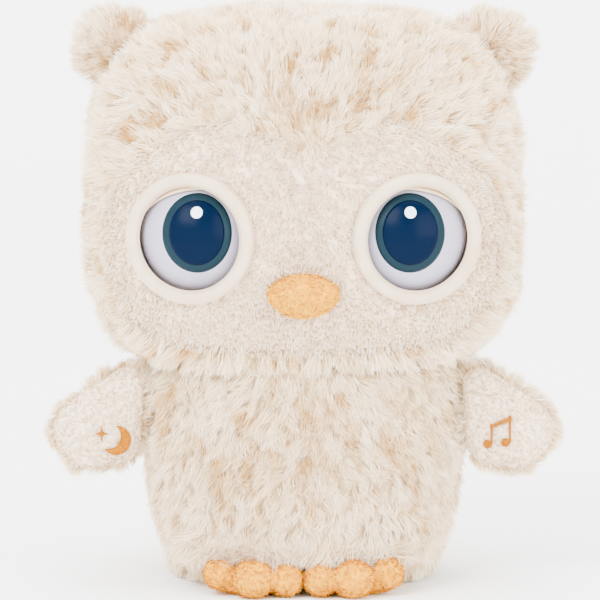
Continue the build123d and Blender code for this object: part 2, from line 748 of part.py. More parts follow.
for side, name in SIDES:
    with BuildPart() as wing:
        extrude(palm_outline(side), amount=-WING_BACK_Y, dir=(0, -1, 0))
        extrude(palm_outline(side), amount=-WING_FRONT_Y, dir=(0, -1, 0))
        split(bisect_by=Plane.XZ.offset(-WING_BACK_Y), keep=Keep.TOP)
        fillet(wing.faces().sort_by(Axis.Y)[-1].edges(), BACK_ROUND)
        fillet(wing.faces().sort_by(Axis.Y)[0].edges(), FRONT_ROUND)
    whole_wing = wing.part

    with BuildPart() as wing_back:
        add(whole_wing)
        split(bisect_by=Plane.XZ.offset(-WING_SPLIT_Y), keep=Keep.BOTTOM)
        button_room = disc(side, BUTTON_R + SEAT_GAP, WING_SPLIT_Y - PAST, BUTTON_FLOOR_Y)
        add(button_room, mode=Mode.SUBTRACT)
    save(wing_back, "wing_back_" + name)

    with BuildPart() as wing_palm:
        add(whole_wing)
        split(bisect_by=Plane.XZ.offset(-WING_SPLIT_Y), keep=Keep.TOP)
    save(wing_palm, "wing_palm_" + name)

    cap_front = WING_SPLIT_Y + 3 * SEAT_GAP
    base_floor = BUTTON_FLOOR_Y - BUTTON_FLOOR_THICK
    post_top = base_floor - BUTTON_POST_TALL
    with BuildPart() as button_base:
        add(disc(side, BUTTON_R, WING_SPLIT_Y + BUTTON_RISE, BUTTON_FLOOR_Y))
        add(
            disc(side, BUTTON_R - BUTTON_WALL, WING_SPLIT_Y - PAST, base_floor),
            mode=Mode.SUBTRACT,
        )
        add(disc(side, BUTTON_POST_R, post_top, base_floor))
    save(button_base, "button_base_" + name)

    with BuildPart() as button_cap:
        add(disc(side, BUTTON_R - BUTTON_WALL - CAP_GAP, cap_front, cap_front + CAP_THICK))
        add(disc(side, BUTTON_POST_R, cap_front, post_top - BUTTON_TRAVEL - 2 * SEAT_GAP))
    save(button_cap, "button_cap_" + name)

THREAD_THICK = 0.6
MOON_CENTRE = (-62.5, 48.7)
MOON_R = 5.2
MOON_BITE = (-2.6, 1.6)       # the circle that makes the crescent, from the moon's centre
MOON_BITE_R = 4.3
STAR_CENTRE = (-69.5, 51.5)
STAR_R = 2.3
STAR_WAIST = 0.4


def stitched(sketch):
    """A stitched motif standing on the palm's front."""
    with BuildPart() as motif:
        extrude(sketch, amount=THREAD_THICK, dir=(0, -1, 0))
    return motif


front_plane = Plane.XZ.offset(-WING_FRONT_Y)
with BuildSketch(front_plane) as moon_and_star:
    with Locations(MOON_CENTRE):
        Circle(MOON_R)
    with Locations((MOON_CENTRE[0] + MOON_BITE[0], MOON_CENTRE[1] + MOON_BITE[1])):
        Circle(MOON_BITE_R, mode=Mode.SUBTRACT)
    with BuildLine():
        points = []
        for step in range(8):
            reach = STAR_R if step % 2 == 0 else STAR_WAIST * STAR_R
            turn = radians(90 + 45 * step)
            points.append((STAR_CENTRE[0] + reach * cos(turn), STAR_CENTRE[1] + reach * sin(turn)))
        Polyline(*points, close=True)
    make_face()
save(stitched(moon_and_star.sketch), "moon_embroidery")

NOTE_HEADS = ((62.4, 48.4), (68.6, 49.0))
NOTE_HEAD_HALF = (1.9, 1.5)
NOTE_STEM_TOP = (6.9, 9.2)
NOTE_STEM_W = 0.8
NOTE_BEAM = 1.9
NOTE_TILT = 20.0
with BuildSketch(front_plane) as note:
    tops = []
    for (x, z), rise in zip(NOTE_HEADS, NOTE_STEM_TOP):
        with Locations((x, z)):
            Ellipse(*NOTE_HEAD_HALF, rotation=NOTE_TILT)
        with Locations((x + NOTE_HEAD_HALF[0] - NOTE_STEM_W / 2, z + rise / 2)):
            Rectangle(NOTE_STEM_W, rise)
        tops.append((x + NOTE_HEAD_HALF[0], z + rise))
    (x0, z0), (x1, z1) = tops
    with BuildLine():
        Polyline(
            (x0 - NOTE_STEM_W, z0 - NOTE_BEAM), (x1, z1 - NOTE_BEAM), (x1, z1),
            (x0 - NOTE_STEM_W, z0), close=True,
        )
    make_face()
save(stitched(note.sketch), "note_embroidery")

# ---- sound box ----------------------------------------------------------------------
BOX_MID_Z = (BOX_LOW + BOX_HIGH) / 2
BOX_TALL = BOX_HIGH - BOX_LOW
BOX_CORNER = 4.0
BAY_LOW = 17.2
BAY_HIGH = 63.0
SWITCH_Z = 68.3
SWITCH_TRAVEL = 3.0
KNOB_HALF = 2.0
BOX_BOSS = (26.5, 25.5)       # screw bosses from the box's centre, X and Z
BOX_BOSS_R = 3.0
BOX_SCREW_LENGTH = 8.0        # in the front half
BOX_SCREW_BORE = 10.0
BOX_SCREW_WELL_R = 2.1
GRILLE_R = 1.1
GRILLE_PITCH = 5.0
GRILLE_COUNT = 6
BAY_MOUTH_HALF_W = 23.5
BAY_MOUTH_LOW = 19.2
BAY_MOUTH_HIGH = 60.5
SWITCH_POCKET_HALF_W = 9.0
KNOB_HALF_H = 1.2
KNOB_STANDS = 1.4
KNOB_ROOT = 1.1
SLOT_SIDE_GAP = 0.3
SLOT_GAP = 0.1
SPEAKER_Z = 44.0
SPEAKER_R = 18.0


def box_slab(front_y, back_y, inset=0.0):
    """A rounded slab of the sound box between two depths."""
    with BuildPart() as slab:
        with BuildSketch(Plane.XY.offset(BOX_LOW + inset)):
            with Locations((0, (BOX_FRONT_Y + BOX_BACK_Y) / 2)):
                RectangleRounded(
                    2 * (BOX_HALF_W - inset), BOX_BACK_Y - BOX_FRONT_Y - 2 * inset,
                    BOX_CORNER - inset,
                )
        extrude(amount=BOX_TALL - 2 * inset)
        add(block((-FAR, front_y, 0), (FAR, back_y, FAR)), mode=Mode.INTERSECT)
    return slab.part


with BuildPart() as sound_box_front:
    add(box_slab(BOX_FRONT_Y, BOX_SPLIT_Y))
    add(box_slab(BOX_FRONT_Y + BOX_WALL, BOX_SPLIT_Y, BOX_WALL), mode=Mode.SUBTRACT)
    for x in (-BOX_BOSS[0], BOX_BOSS[0]):
        for z in (-BOX_BOSS[1], BOX_BOSS[1]):
            with BuildSketch(Plane.XZ.offset(-BOX_SPLIT_Y)):
                with Locations((x, BOX_MID_Z + z)):
                    Circle(BOX_BOSS_R)
            extrude(amount=BOX_SPLIT_Y - BOX_FRONT_Y - BOX_WALL)
            with BuildSketch(Plane.XZ.offset(-BOX_SPLIT_Y)):
                with Locations((x, BOX_MID_Z + z)):
                    Circle(SCREW_R)
            extrude(amount=BOX_SCREW_BORE, mode=Mode.SUBTRACT)
    with BuildSketch(Plane.XZ.offset(-BOX_FRONT_Y - BOX_WALL)):
        with Locations((0, SPEAKER_Z)):
            with GridLocations(GRILLE_PITCH, GRILLE_PITCH, GRILLE_COUNT, GRILLE_COUNT):
                Circle(GRILLE_R)
    extrude(amount=BOX_WALL, mode=Mode.SUBTRACT)
save(sound_box_front, "sound_box_front")

RAIL_IN = DOOR_HALF_W + 0.3
RAIL_OUT = RAIL_IN + 2.2
RAIL_LIP = 1.5
RAIL_TOP_Y = BOX_BACK_Y + DOOR_THICK + 0.3
RAIL_THICK = 1.0
SLOT_LOW = SWITCH_Z - KNOB_HALF_H - SLOT_GAP
SLOT_HIGH = SWITCH_Z + KNOB_HALF_H + SLOT_GAP
with BuildPart() as sound_box_back:
    add(box_slab(BOX_SPLIT_Y, BOX_BACK_Y))
    add(
        block(
            (-BOX_HALF_W + BOX_WALL, BOX_SPLIT_Y + BOX_WALL, BAY_LOW),
            (BOX_HALF_W - BOX_WALL, BOX_BACK_Y - BOX_WALL, BAY_HIGH),
        ),
        mode=Mode.SUBTRACT,
    )
    add(
        block(
            (-BAY_MOUTH_HALF_W, BOX_BACK_Y - BOX_WALL - PAST, BAY_MOUTH_LOW),
            (BAY_MOUTH_HALF_W, BOX_BACK_Y + PAST, BAY_MOUTH_HIGH),
        ),
        mode=Mode.SUBTRACT,
    )
    add(
        block(
            (-SWITCH_POCKET_HALF_W, BOX_SPLIT_Y - PAST, SWITCH_Z - 4),
            (SWITCH_POCKET_HALF_W, BOX_BACK_Y - BOX_WALL, SWITCH_Z + 3),
        ),
        mode=Mode.SUBTRACT,
    )
    add(
        block(
            (-KNOB_HALF - SLOT_SIDE_GAP, BOX_BACK_Y - BOX_WALL - PAST, SLOT_LOW),
            (KNOB_HALF + SWITCH_TRAVEL + SLOT_SIDE_GAP, BOX_BACK_Y + PAST, SLOT_HIGH),
        ),
        mode=Mode.SUBTRACT,
    )
    for side, _ in SIDES:
        low_x, high_x = sorted((side * RAIL_IN, side * RAIL_OUT))
        lip_x, lip_out = sorted((side * (RAIL_IN - RAIL_LIP), side * RAIL_OUT))
        add(block((low_x, BOX_BACK_Y, DOOR_LOW), (high_x, RAIL_TOP_Y, DOOR_HIGH)))
        add(block((lip_x, RAIL_TOP_Y, DOOR_LOW), (lip_out, RAIL_TOP_Y + RAIL_THICK, DOOR_HIGH)))
    for x in (-BOX_BOSS[0], BOX_BOSS[0]):
        for z in (-BOX_BOSS[1], BOX_BOSS[1]):
            with BuildSketch(Plane.XZ.offset(-BOX_SPLIT_Y)):
                with Locations((x, BOX_MID_Z + z)):
                    Circle(SCREW_R)
            extrude(amount=-BOX_WALL, mode=Mode.SUBTRACT)
            with BuildSketch(Plane.XZ.offset(-BOX_SPLIT_Y - BOX_WALL)):
                with Locations((x, BOX_MID_Z + z)):
                    Circle(BOX_SCREW_WELL_R)
            extrude(amount=-BOX_BACK_Y, mode=Mode.SUBTRACT)
save(sound_box_back, "sound_box_back")

with BuildPart() as sound_box_screws:
    for x in (-BOX_BOSS[0], BOX_BOSS[0]):
        for z in (-BOX_BOSS[1], BOX_BOSS[1]):
            with BuildSketch(Plane.XZ.offset(-BOX_SPLIT_Y - BOX_WALL)):
                with Locations((x, BOX_MID_Z + z)):
                    Circle(SCREW_R)
            extrude(amount=BOX_WALL + BOX_SCREW_LENGTH)
            with BuildSketch(Plane.XZ.offset(-BOX_SPLIT_Y - BOX_WALL)):
                with Locations((x, BOX_MID_Z + z)):
                    Circle(SCREW_HEAD_R)
            extrude(amount=-SCREW_HEAD_TALL)
save(sound_box_screws, "sound_box_screws")

DOOR_IN_Y = BOX_BACK_Y + 0.15
RIB_COUNT = 5
RIB_HALF_W = 9.0
RIB_FIRST = 8.0               # below the door's top
RIB_PITCH = 2.2
RIB_W = 1.0
RIB_STANDS = 0.75
with BuildPart() as battery_door:
    add(
        block(
            (-DOOR_HALF_W, DOOR_IN_Y, DOOR_LOW),
            (DOOR_HALF_W, DOOR_IN_Y + DOOR_THICK, DOOR_HIGH),
        )
    )
    for rib in range(RIB_COUNT):
        z = DOOR_HIGH - RIB_FIRST - RIB_PITCH * rib
        add(
            block(
                (-RIB_HALF_W, DOOR_IN_Y, z),
                (RIB_HALF_W, DOOR_IN_Y + DOOR_THICK + RIB_STANDS, z + RIB_W),
            )
        )
save(battery_door, "battery_door")

CELL_COUNT = 3
NUB_R = 2.6
NUB_TALL = 1.2
with BuildPart() as batteries:
    for cell in range(CELL_COUNT):
        z = CELL_LOW_Z + CELL_PITCH * cell
        turn = 1 if cell % 2 else -1
        with BuildSketch(Plane.YZ.offset(-turn * CELL_LENGTH / 2)):
            with Locations((CELL_Y, z)):
                Circle(CELL_R)
        extrude(amount=turn * (CELL_LENGTH - NUB_TALL))
        with BuildSketch(Plane.YZ.offset(turn * (CELL_LENGTH / 2 - NUB_TALL))):
            with Locations((CELL_Y, z)):
                Circle(NUB_R)
        extrude(amount=turn * NUB_TALL)
save(batteries, "batteries")

CONTACT_THICK = 0.4
CONTACT_HALF = 5.0
SPRING_R = 2.4
SPRING_BORE = 1.6
with BuildPart() as battery_contacts:
    for side, _ in SIDES:
        wall_x = side * (BOX_HALF_W - BOX_WALL)
        near_x = wall_x - side * CONTACT_THICK
        for cell in range(CELL_COUNT):
            z = CELL_LOW_Z + CELL_PITCH * cell
            low_x, high_x = sorted((wall_x, near_x))
            low_y, high_y = CELL_Y - CONTACT_HALF, CELL_Y + CONTACT_HALF
            add(block((low_x, low_y, z - CONTACT_HALF), (high_x, high_y, z + CONTACT_HALF)))
            spring_reach = BOX_HALF_W - BOX_WALL - CONTACT_THICK - CELL_LENGTH / 2
            with BuildSketch(Plane.YZ.offset(near_x)):
                with Locations((CELL_Y, z)):
                    Circle(SPRING_R)
                    Circle(SPRING_BORE, mode=Mode.SUBTRACT)
            extrude(amount=-side * (spring_reach - SEAT_GAP / 2))
save(battery_contacts, "battery_contacts")

SWITCH_BACK_Y = BOX_BACK_Y - BOX_WALL
SWITCH_HALF_H = 2.6
with BuildPart() as switch_body:
    add(
        block(
            (-6, SWITCH_BACK_Y - 4, SWITCH_Z - SWITCH_HALF_H),
            (8, SWITCH_BACK_Y, SWITCH_Z + SWITCH_HALF_H),
        )
    )
    add(
        block(
            (-KNOB_HALF - SLOT_SIDE_GAP, SWITCH_BACK_Y - KNOB_ROOT - SLOT_GAP, SLOT_LOW),
            (KNOB_HALF + SWITCH_TRAVEL + SLOT_SIDE_GAP, BOX_BACK_Y, SLOT_HIGH),
        ),
        mode=Mode.SUBTRACT,
    )
save(switch_body, "switch_body")

with BuildPart() as power_switch_knob:
    add(
        block(
            (-KNOB_HALF, SWITCH_BACK_Y - KNOB_ROOT, SWITCH_Z - KNOB_HALF_H),
            (KNOB_HALF, BOX_BACK_Y + KNOB_STANDS, SWITCH_Z + KNOB_HALF_H),
        )
    )
save(power_switch_knob, "power_switch_knob")

SPEAKER_FRONT_Y = BOX_FRONT_Y + BOX_WALL
SPEAKER_RIM = 2.2
SPEAKER_RIM_THICK = 1.4
BASKET_DEEP = 3.6
MAGNET_R = 9.0
MAGNET_THICK = 4.0
CONE_DEEP = 0.6
CONE_THICK = 0.8
DUST_CAP_R = 5.0
with BuildPart() as speaker:
    with BuildSketch(Plane.XZ.offset(-SPEAKER_FRONT_Y)):
        with Locations((0, SPEAKER_Z)):
            Circle(SPEAKER_R)
            Circle(SPEAKER_R - SPEAKER_RIM, mode=Mode.SUBTRACT)
    extrude(amount=-SPEAKER_RIM_THICK)
    with BuildSketch(Plane.XZ.offset(-SPEAKER_FRONT_Y - SPEAKER_RIM_THICK)):
        with Locations((0, SPEAKER_Z)):
            Circle(SPEAKER_R)
    extrude(amount=-BASKET_DEEP, taper=20)
    with BuildSketch(Plane.XZ.offset(-SPEAKER_FRONT_Y - SPEAKER_RIM_THICK - BASKET_DEEP)):
        with Locations((0, SPEAKER_Z)):
            Circle(MAGNET_R)
    extrude(amount=-MAGNET_THICK)
save(speaker, "speaker")

with BuildPart() as speaker_cone:
    with BuildSketch(Plane.XZ.offset(-SPEAKER_FRONT_Y - CONE_DEEP)):
        with Locations((0, SPEAKER_Z)):
            Circle(SPEAKER_R - SPEAKER_RIM)
    extrude(amount=-CONE_THICK)
    with BuildSketch(Plane.XZ.offset(-SPEAKER_FRONT_Y - CONE_DEEP)):
        with Locations((0, SPEAKER_Z)):
            Circle(DUST_CAP_R)
    extrude(amount=CONE_DEEP - SEAT_GAP)
save(speaker_cone, "speaker_cone")

BOARD_Y = BOX_FRONT_Y + 13.0
BOARD_BACK_Y = BOARD_Y + 1.6
CHIP_TALL = 1.6
CAPACITOR_TALL = 3.0
with BuildPart() as main_board:
    add(block((-23, BOARD_Y, 20), (23, BOARD_BACK_Y, 68)))
    add(block((-6, BOARD_BACK_Y, 34), (6, BOARD_BACK_Y + CHIP_TALL, 46)))
    for x in (-16, 14):
        add(block((x, BOARD_BACK_Y, 52), (x + 5, BOARD_BACK_Y + CAPACITOR_TALL, 60)))
save(main_board, "main_board")
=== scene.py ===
import json
import math
import bpy
import numpy as np
from mathutils import Matrix, Vector


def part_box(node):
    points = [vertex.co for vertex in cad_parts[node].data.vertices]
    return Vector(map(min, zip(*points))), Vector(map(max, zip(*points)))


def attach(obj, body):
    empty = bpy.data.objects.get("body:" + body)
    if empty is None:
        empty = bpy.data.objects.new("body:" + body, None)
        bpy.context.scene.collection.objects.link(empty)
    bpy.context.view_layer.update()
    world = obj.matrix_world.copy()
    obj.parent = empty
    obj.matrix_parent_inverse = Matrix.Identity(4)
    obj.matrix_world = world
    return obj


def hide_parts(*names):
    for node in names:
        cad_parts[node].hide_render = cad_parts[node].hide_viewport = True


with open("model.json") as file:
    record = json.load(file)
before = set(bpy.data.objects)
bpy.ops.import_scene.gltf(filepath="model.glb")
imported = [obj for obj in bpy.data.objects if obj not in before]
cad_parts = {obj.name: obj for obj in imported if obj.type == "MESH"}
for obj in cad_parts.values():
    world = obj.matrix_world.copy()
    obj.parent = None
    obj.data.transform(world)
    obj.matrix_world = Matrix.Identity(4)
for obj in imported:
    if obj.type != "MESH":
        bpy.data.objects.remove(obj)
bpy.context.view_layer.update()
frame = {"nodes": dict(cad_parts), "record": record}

# Interactive plush owl. Geometry is worked out in millimetres and stored in metres.
MM = 0.001


def node_box(*names):
    """Lowest and highest corners of CAD nodes together, in millimetres."""
    corners = [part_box(name) for name in names]
    low = np.min([list(c[0]) for c in corners], axis=0) / MM
    high = np.max([list(c[1]) for c in corners], axis=0) / MM
    return low, high


# ---- places and sizes, read from the frame ------------------------------------------
HEAD_LOW, HEAD_HIGH = node_box("hood_plush")
BODY_LOW, BODY_HIGH = node_box("body_plush")
MID_Y = (HEAD_LOW[1] + HEAD_HIGH[1]) / 2
SEAM_Z = HEAD_LOW[2]
HEAD_HALF = (HEAD_HIGH - HEAD_LOW) / 2
BODY_HALF = (BODY_HIGH - BODY_LOW) / 2
HEAD_TALL = HEAD_HIGH[2] - SEAM_Z
BODY_TALL = BODY_HIGH[2] - BODY_LOW[2]

SIDES = ((1, "left"), (-1, "right"))
EYE_LOW, EYE_HIGH = node_box("eyeball_left")
EYEBALL_R = (EYE_HIGH[2] - EYE_LOW[2]) / 2
EYE_X = EYE_HIGH[0] - EYEBALL_R
EYE_Y = EYE_LOW[1] + EYEBALL_R
EYE_Z = (EYE_HIGH[2] + EYE_LOW[2]) / 2
EYE_YAW = math.radians(16.0)
GAZE_YAW = math.radians(5.3)
GAZE_PITCH = math.radians(8.0)
BEZEL_IN_R = 17.6
BEZEL_OUT_R = 22.3
FACE_DEPTH_AT_BEZEL = 12.3

SKIN_INSET = 2.6              # the cloth lies this far under the CAD's mid-pile surface

# Forms as shares: height, half width, half depth, from the seam to the crown.
HEAD_POWER = 2.7
HEAD_PROFILE = np.array([
    (0.0, 0.743, 0.772), (0.051, 0.845, 0.868), (0.119, 0.932, 0.947), (0.212, 0.986, 0.991),
    (0.356, 1.0, 1.0), (0.517, 1.0, 1.0), (0.653, 0.985, 0.965), (0.771, 0.945, 0.895),
    (0.869, 0.865, 0.789), (0.941, 0.735, 0.64), (0.985, 0.53, 0.447), (1.0, 0.26, 0.21),
])
BODY_POWER = 2.3
BODY_PROFILE = np.array([
    (0.0, 0.714, 0.808), (0.066, 0.795, 0.894), (0.197, 0.866, 0.968), (0.408, 0.938, 1.0),
    (0.618, 0.982, 1.0), (0.816, 1.0, 0.979), (1.0, 0.982, 0.936),
])
# Half of the face panel's edge, from the dip over the beak to the chin.
FACE_EDGE = (
    (0, 153.2), (11, 156), (30, 161), (46, 155.2), (59, 145), (66, 133),
    (67.5, 119), (63.5, 100.5), (55, 89.5), (38, 84.3), (0, 82.5),
)


# ---- colours ------------------------------------------------------------------------
def rgb(red, green, blue):
    """An 8-bit display colour as linear RGBA."""
    out = []
    for value in (red, green, blue):
        share = value / 255
        linear = share / 12.92 if share <= 0.04045 else ((share + 0.055) / 1.055) ** 2.4
        out.append(linear)
    return (*out, 1.0)


def new_material(name, colour, roughness, **sockets):
    """A Principled material whose even values sit on the shader's own sockets."""
    material = bpy.data.materials.new(name)
    material.use_nodes = True
    shader = material.node_tree.nodes["Principled BSDF"]
    shader.inputs["Base Color"].default_value = rgb(*colour)
    shader.inputs["Roughness"].default_value = roughness
    for key, value in sockets.items():
        shader.inputs[key.replace("_", " ")].default_value = value
    return material


def texture(material, kind, **values):
    """A procedural texture in the object's own space, with its tree's nodes and links."""
    nodes, links = material.node_tree.nodes, material.node_tree.links
    place = nodes.new("ShaderNodeTexCoord")
    pattern = nodes.new(kind)
    for key, value in values.items():
        pattern.inputs[key].default_value = value
    links.new(place.outputs["Object"], pattern.inputs["Vector"])
    return nodes, links, pattern


def drive(material, socket, output):
    """Let a node's output set one of the shader's sockets."""
    tree = material.node_tree
    tree.links.new(output, tree.nodes["Principled BSDF"].inputs[socket])
    return material


MOTTLE_DETAIL = 4.0
MOTTLE_SPAN = (0.35, 0.65)    # where on the noise the two tones are reached
GRAIN_DETAIL = 6.0
GRAIN_STRENGTH = 0.5
THREAD_WAVER = 0.6


def mottle(material, low, high, scale):
    """Colour that drifts between two tones over the surface."""
    nodes, links, noise = texture(material, "ShaderNodeTexNoise", Scale=scale, Detail=MOTTLE_DETAIL)
    ramp = nodes.new("ShaderNodeValToRGB")
    for element, position, tone in zip(ramp.color_ramp.elements, MOTTLE_SPAN, (low, high)):
        element.position = position
        element.color = rgb(*tone)
    links.new(noise.outputs["Fac"], ramp.inputs["Fac"])
    return drive(material, "Base Color", ramp.outputs["Color"])


def rough_grain(material, scale, depth, low=None, high=None):
    """Fine bump, and roughness that varies a little between low and high."""
    nodes, links, noise = texture(material, "ShaderNodeTexNoise", Scale=scale, Detail=GRAIN_DETAIL)
    bump = nodes.new("ShaderNodeBump")
    bump.inputs["Strength"].default_value = GRAIN_STRENGTH
    bump.inputs["Distance"].default_value = depth
    links.new(noise.outputs["Fac"], bump.inputs["Height"])
    if low is not None:
        spread = nodes.new("ShaderNodeMapRange")
        spread.inputs["To Min"].default_value = low
        spread.inputs["To Max"].default_value = high
        links.new(noise.outputs["Fac"], spread.inputs["Value"])
        drive(material, "Roughness", spread.outputs["Result"])
    return drive(material, "Normal", bump.outputs["Normal"])


def weave(material, threads_per_m, depth):
    """Two crossed wave bands that bump the cloth like woven threads."""
    nodes = material.node_tree.nodes
    height = nodes.new("ShaderNodeMath")
    height.operation = "MULTIPLY"
    bump = nodes.new("ShaderNodeBump")
    bump.inputs["Distance"].default_value = depth
    for index, direction in enumerate(("X", "Z")):
        _, links, wave = texture(material, "ShaderNodeTexWave", Scale=threads_per_m,
                                 Distortion=THREAD_WAVER)
        wave.bands_direction = direction
        links.new(wave.outputs["Fac"], height.inputs[index])
    links.new(height.outputs["Value"], bump.inputs["Height"])
    return drive(material, "Normal", bump.outputs["Normal"])


PILE_ROUGHNESS = 0.75
PILE_SHEEN_ROUGHNESS = 0.4


def pile_shades(name, slot, tones, sheen=0.35, specular=0.2):
    """A pile's slot, and a plain shade for each tone from its roots to its brightest tips."""
    shades = []
    for index, tone in enumerate(tones):
        shades.append(new_material(
            f"{name}_{index}", tone, PILE_ROUGHNESS, Sheen_Weight=sheen,
            Sheen_Roughness=PILE_SHEEN_ROUGHNESS, Specular_IOR_Level=specular,
        ))
    return {"slot": slot, "shades": shades}


CREAM = pile_shades("cream_fur", "long_fur", (
    (176, 124, 56), (206, 162, 100), (228, 195, 142), (240, 216, 177), (249, 230, 198),
    (254, 245, 226),
))
MINKY = pile_shades("minky_pile", "short_plush", (
    (178, 140, 96), (211, 179, 138), (234, 210, 176), (247, 233, 211),
))
GOLD = pile_shades("golden_pile", "golden_plush", (
    (178, 106, 0), (206, 136, 0), (226, 160, 0), (238, 180, 8),
), sheen=0.0, specular=0.04)


# ---- numpy geometry -----------------------------------------------------------------
def smooth_rows(table, steps):
    """Catmull-Rom rows between the rows of a table."""
    count = len(table)
    spot = np.linspace(0, count - 1, steps)
    index = np.clip(np.floor(spot).astype(int), 0, count - 2)
    share = (spot - index)[:, None]
    before = table[np.clip(index - 1, 0, count - 1)]
    start = table[index]
    end = table[index + 1]
    after = table[np.clip(index + 2, 0, count - 1)]
    slope_in = (end - before) / 2
    slope_out = (after - start) / 2
    two, three = share ** 2, share ** 3
    return (
        (2 * three - 3 * two + 1) * start + (three - 2 * two + share) * slope_in
        + (3 * two - 2 * three) * end + (three - two) * slope_out
    )


def unit(vectors):
    return vectors / np.maximum(np.linalg.norm(vectors, axis=-1, keepdims=True), 1e-9)


def grid_normals(points, outward):
    """Normals of a grid that closes on itself along its columns."""
    across = np.roll(points, -1, axis=1) - np.roll(points, 1, axis=1)
    along = np.gradient(points, axis=0)
    normals = unit(np.cross(across, along))
    if np.sum(normals * (points - outward)) < 0:
        normals = -normals
    return normals


def form_grid(profile, half, tall, low_z, power, rows, columns):
    """Rows of squared ovals up a stuffed form."""
    levels = smooth_rows(profile, rows)
    turn = np.linspace(0, 2 * math.pi, columns, endpoint=False)
    curve_x = np.sign(np.cos(turn)) * np.abs(np.cos(turn)) ** (2 / power)
    curve_y = np.sign(np.sin(turn)) * np.abs(np.sin(turn)) ** (2 / power)
    points = np.zeros((rows, columns, 3))
    points[..., 0] = levels[:, 1:2] * half[0] * curve_x
    points[..., 1] = levels[:, 2:3] * half[1] * curve_y + MID_Y
    points[..., 2] = (low_z + levels[:, 0:1] * tall) + 0 * curve_x
    return points


def grid_faces(rows, columns, closed=True, ring=False):
    """Quads of a grid; closed joins its last column to the first one, ring its last row."""
    row, column = np.meshgrid(
        np.arange(rows if ring else rows - 1), np.arange(columns if closed else columns - 1),
        indexing="ij",
    )
    row, column = row.ravel() * columns, column.ravel()
    next_row = (row + columns) % (rows * columns)
    after = (column + 1) % columns
    return np.stack([row + column, row + after, next_row + after, next_row + column], axis=1)


def make_mesh(name, points, faces, materials, slots=None):
    """A smooth mesh object from points in millimetres and faces that are lists or one array."""
    mesh = bpy.data.meshes.new(name)
    spots = np.asarray(points).reshape(-1, 3) * MM
    mesh.from_pydata(spots.tolist(), [], [list(map(int, face)) for face in faces])
    for material in materials:
        mesh.materials.append(material)
    if slots is not None:
        mesh.polygons.foreach_set("material_index", np.asarray(slots, dtype=np.int32))
    mesh.polygons.foreach_set("use_smooth", np.full(len(mesh.polygons), True))
    mesh.update()
    piece = bpy.data.objects.new(name, mesh)
    bpy.context.scene.collection.objects.link(piece)
    return piece


def stand_for(piece, slot, body, *nodes):
    """Hides the CAD nodes that a piece stands for and attaches it to the body it moves with. The slot
    argument is not used.
    """
    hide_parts(*nodes)
    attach(piece, body)
    return piece


def apply_modifier(piece, kind, **settings):
    """Add one modifier with its settings and bake it into the mesh."""
    modifier = piece.modifiers.new(kind.title(), kind)
    for key, value in settings.items():
        setattr(modifier, key, value)
    bpy.context.view_layer.update()
    graph = bpy.context.evaluated_depsgraph_get()
    mesh = bpy.data.meshes.new_from_object(piece.evaluated_get(graph))
    piece.modifiers.clear()
    piece.data = mesh
    return piece


def surface_of(points, normals, faces):
    """A surface that pile can grow from."""
    return {"points": np.asarray(points).reshape(-1, 3),
            "normals": np.asarray(normals).reshape(-1, 3), "faces": np.asarray(faces)}


def mesh_spots(mesh):
    """A mesh's vertices as rows, in metres."""
    spots = np.empty(len(mesh.vertices) * 3, dtype=np.float32)
    mesh.vertices.foreach_get("co", spots)
    return spots.reshape(-1, 3)


def mesh_surface(piece):
    """The surface of a finished mesh object, in millimetres."""
    mesh = piece.data
    normals = np.empty(len(mesh.vertices) * 3, dtype=np.float32)
    mesh.vertex_normals.foreach_get("vector", normals)
    faces = []
    for face in mesh.polygons:
        corners = list(face.vertices)
        for step in range(1, len(corners) - 1):
            faces.append((corners[0], corners[step], corners[step + 1], corners[step + 1]))
    return surface_of(mesh_spots(mesh) / MM, normals, faces)


def scatter(surface, density, rng):
    """Random points by area, with their normals. Density is a number per square millimetre."""
    points, normals, faces = surface["points"], surface["normals"], surface["faces"]
    triangles = np.concatenate([faces[:, [0, 1, 2]], faces[:, [0, 2, 3]]])
    a, b, c = (points[triangles[:, k]] for k in range(3))
    area = np.linalg.norm(np.cross(b - a, c - a), axis=1) / 2
    total = area.sum()
    count = int(total * density)
    chosen = rng.choice(len(triangles), size=count, p=area / total)
    first, second = np.sqrt(rng.random(count)), rng.random(count)
    shares = np.stack([1 - first, first * (1 - second), first * second], axis=1)
    corner = triangles[chosen]
    spots = sum(shares[:, k:k + 1] * points[corner[:, k]] for k in range(3))
    facing = unit(sum(shares[:, k:k + 1] * normals[corner[:, k]] for k in range(3)))
    return spots, facing


def tangent(vectors, normals):
    return unit(vectors - np.sum(vectors * normals, axis=1, keepdims=True) * normals)


def drift(points, scale, seed):
    """A smooth number from -1 to 1 that drifts over space."""
    rng = np.random.default_rng(seed)
    total = np.zeros(len(points))
    for _ in range(5):
        wave = rng.normal(size=3)
        wave = wave / np.linalg.norm(wave) / scale * rng.uniform(3.5, 8.0)
        total += np.sin(points @ wave + rng.uniform(0, 2 * math.pi))
    return total / 3.2


def spaced(points, gap, rng):
    """Indices of points that stay at least a gap apart."""
    kept = []
    for index in rng.permutation(len(points))[:PATCH_TRIES]:
        if not kept or np.min(np.linalg.norm(points[kept] - points[index], axis=1)) > gap:
            kept.append(index)
    return np.array(kept)


# ---- pile ---------------------------------------------------------------------------
PER_PIECE = 26000             # strands in one mesh
FLOOR_GAP = 0.35              # strands stay this far above the floor
TIP_TAPER = 0.55              # the share of its width that a blade loses before its tip
PATCH_TRIES = 4000

FUR_STEPS = 4                 # points along a long strand
FUR_ROOT = 0.6                # how deep long strands start under the cloth's face
CLUMP_R = 1.7                 # how far hairs stand from their clump's middle
CLUMP_CLOSE = 0.42            # how much a clump's hairs draw together towards their tips
FUR_WIDTH = (0.18, 0.3)

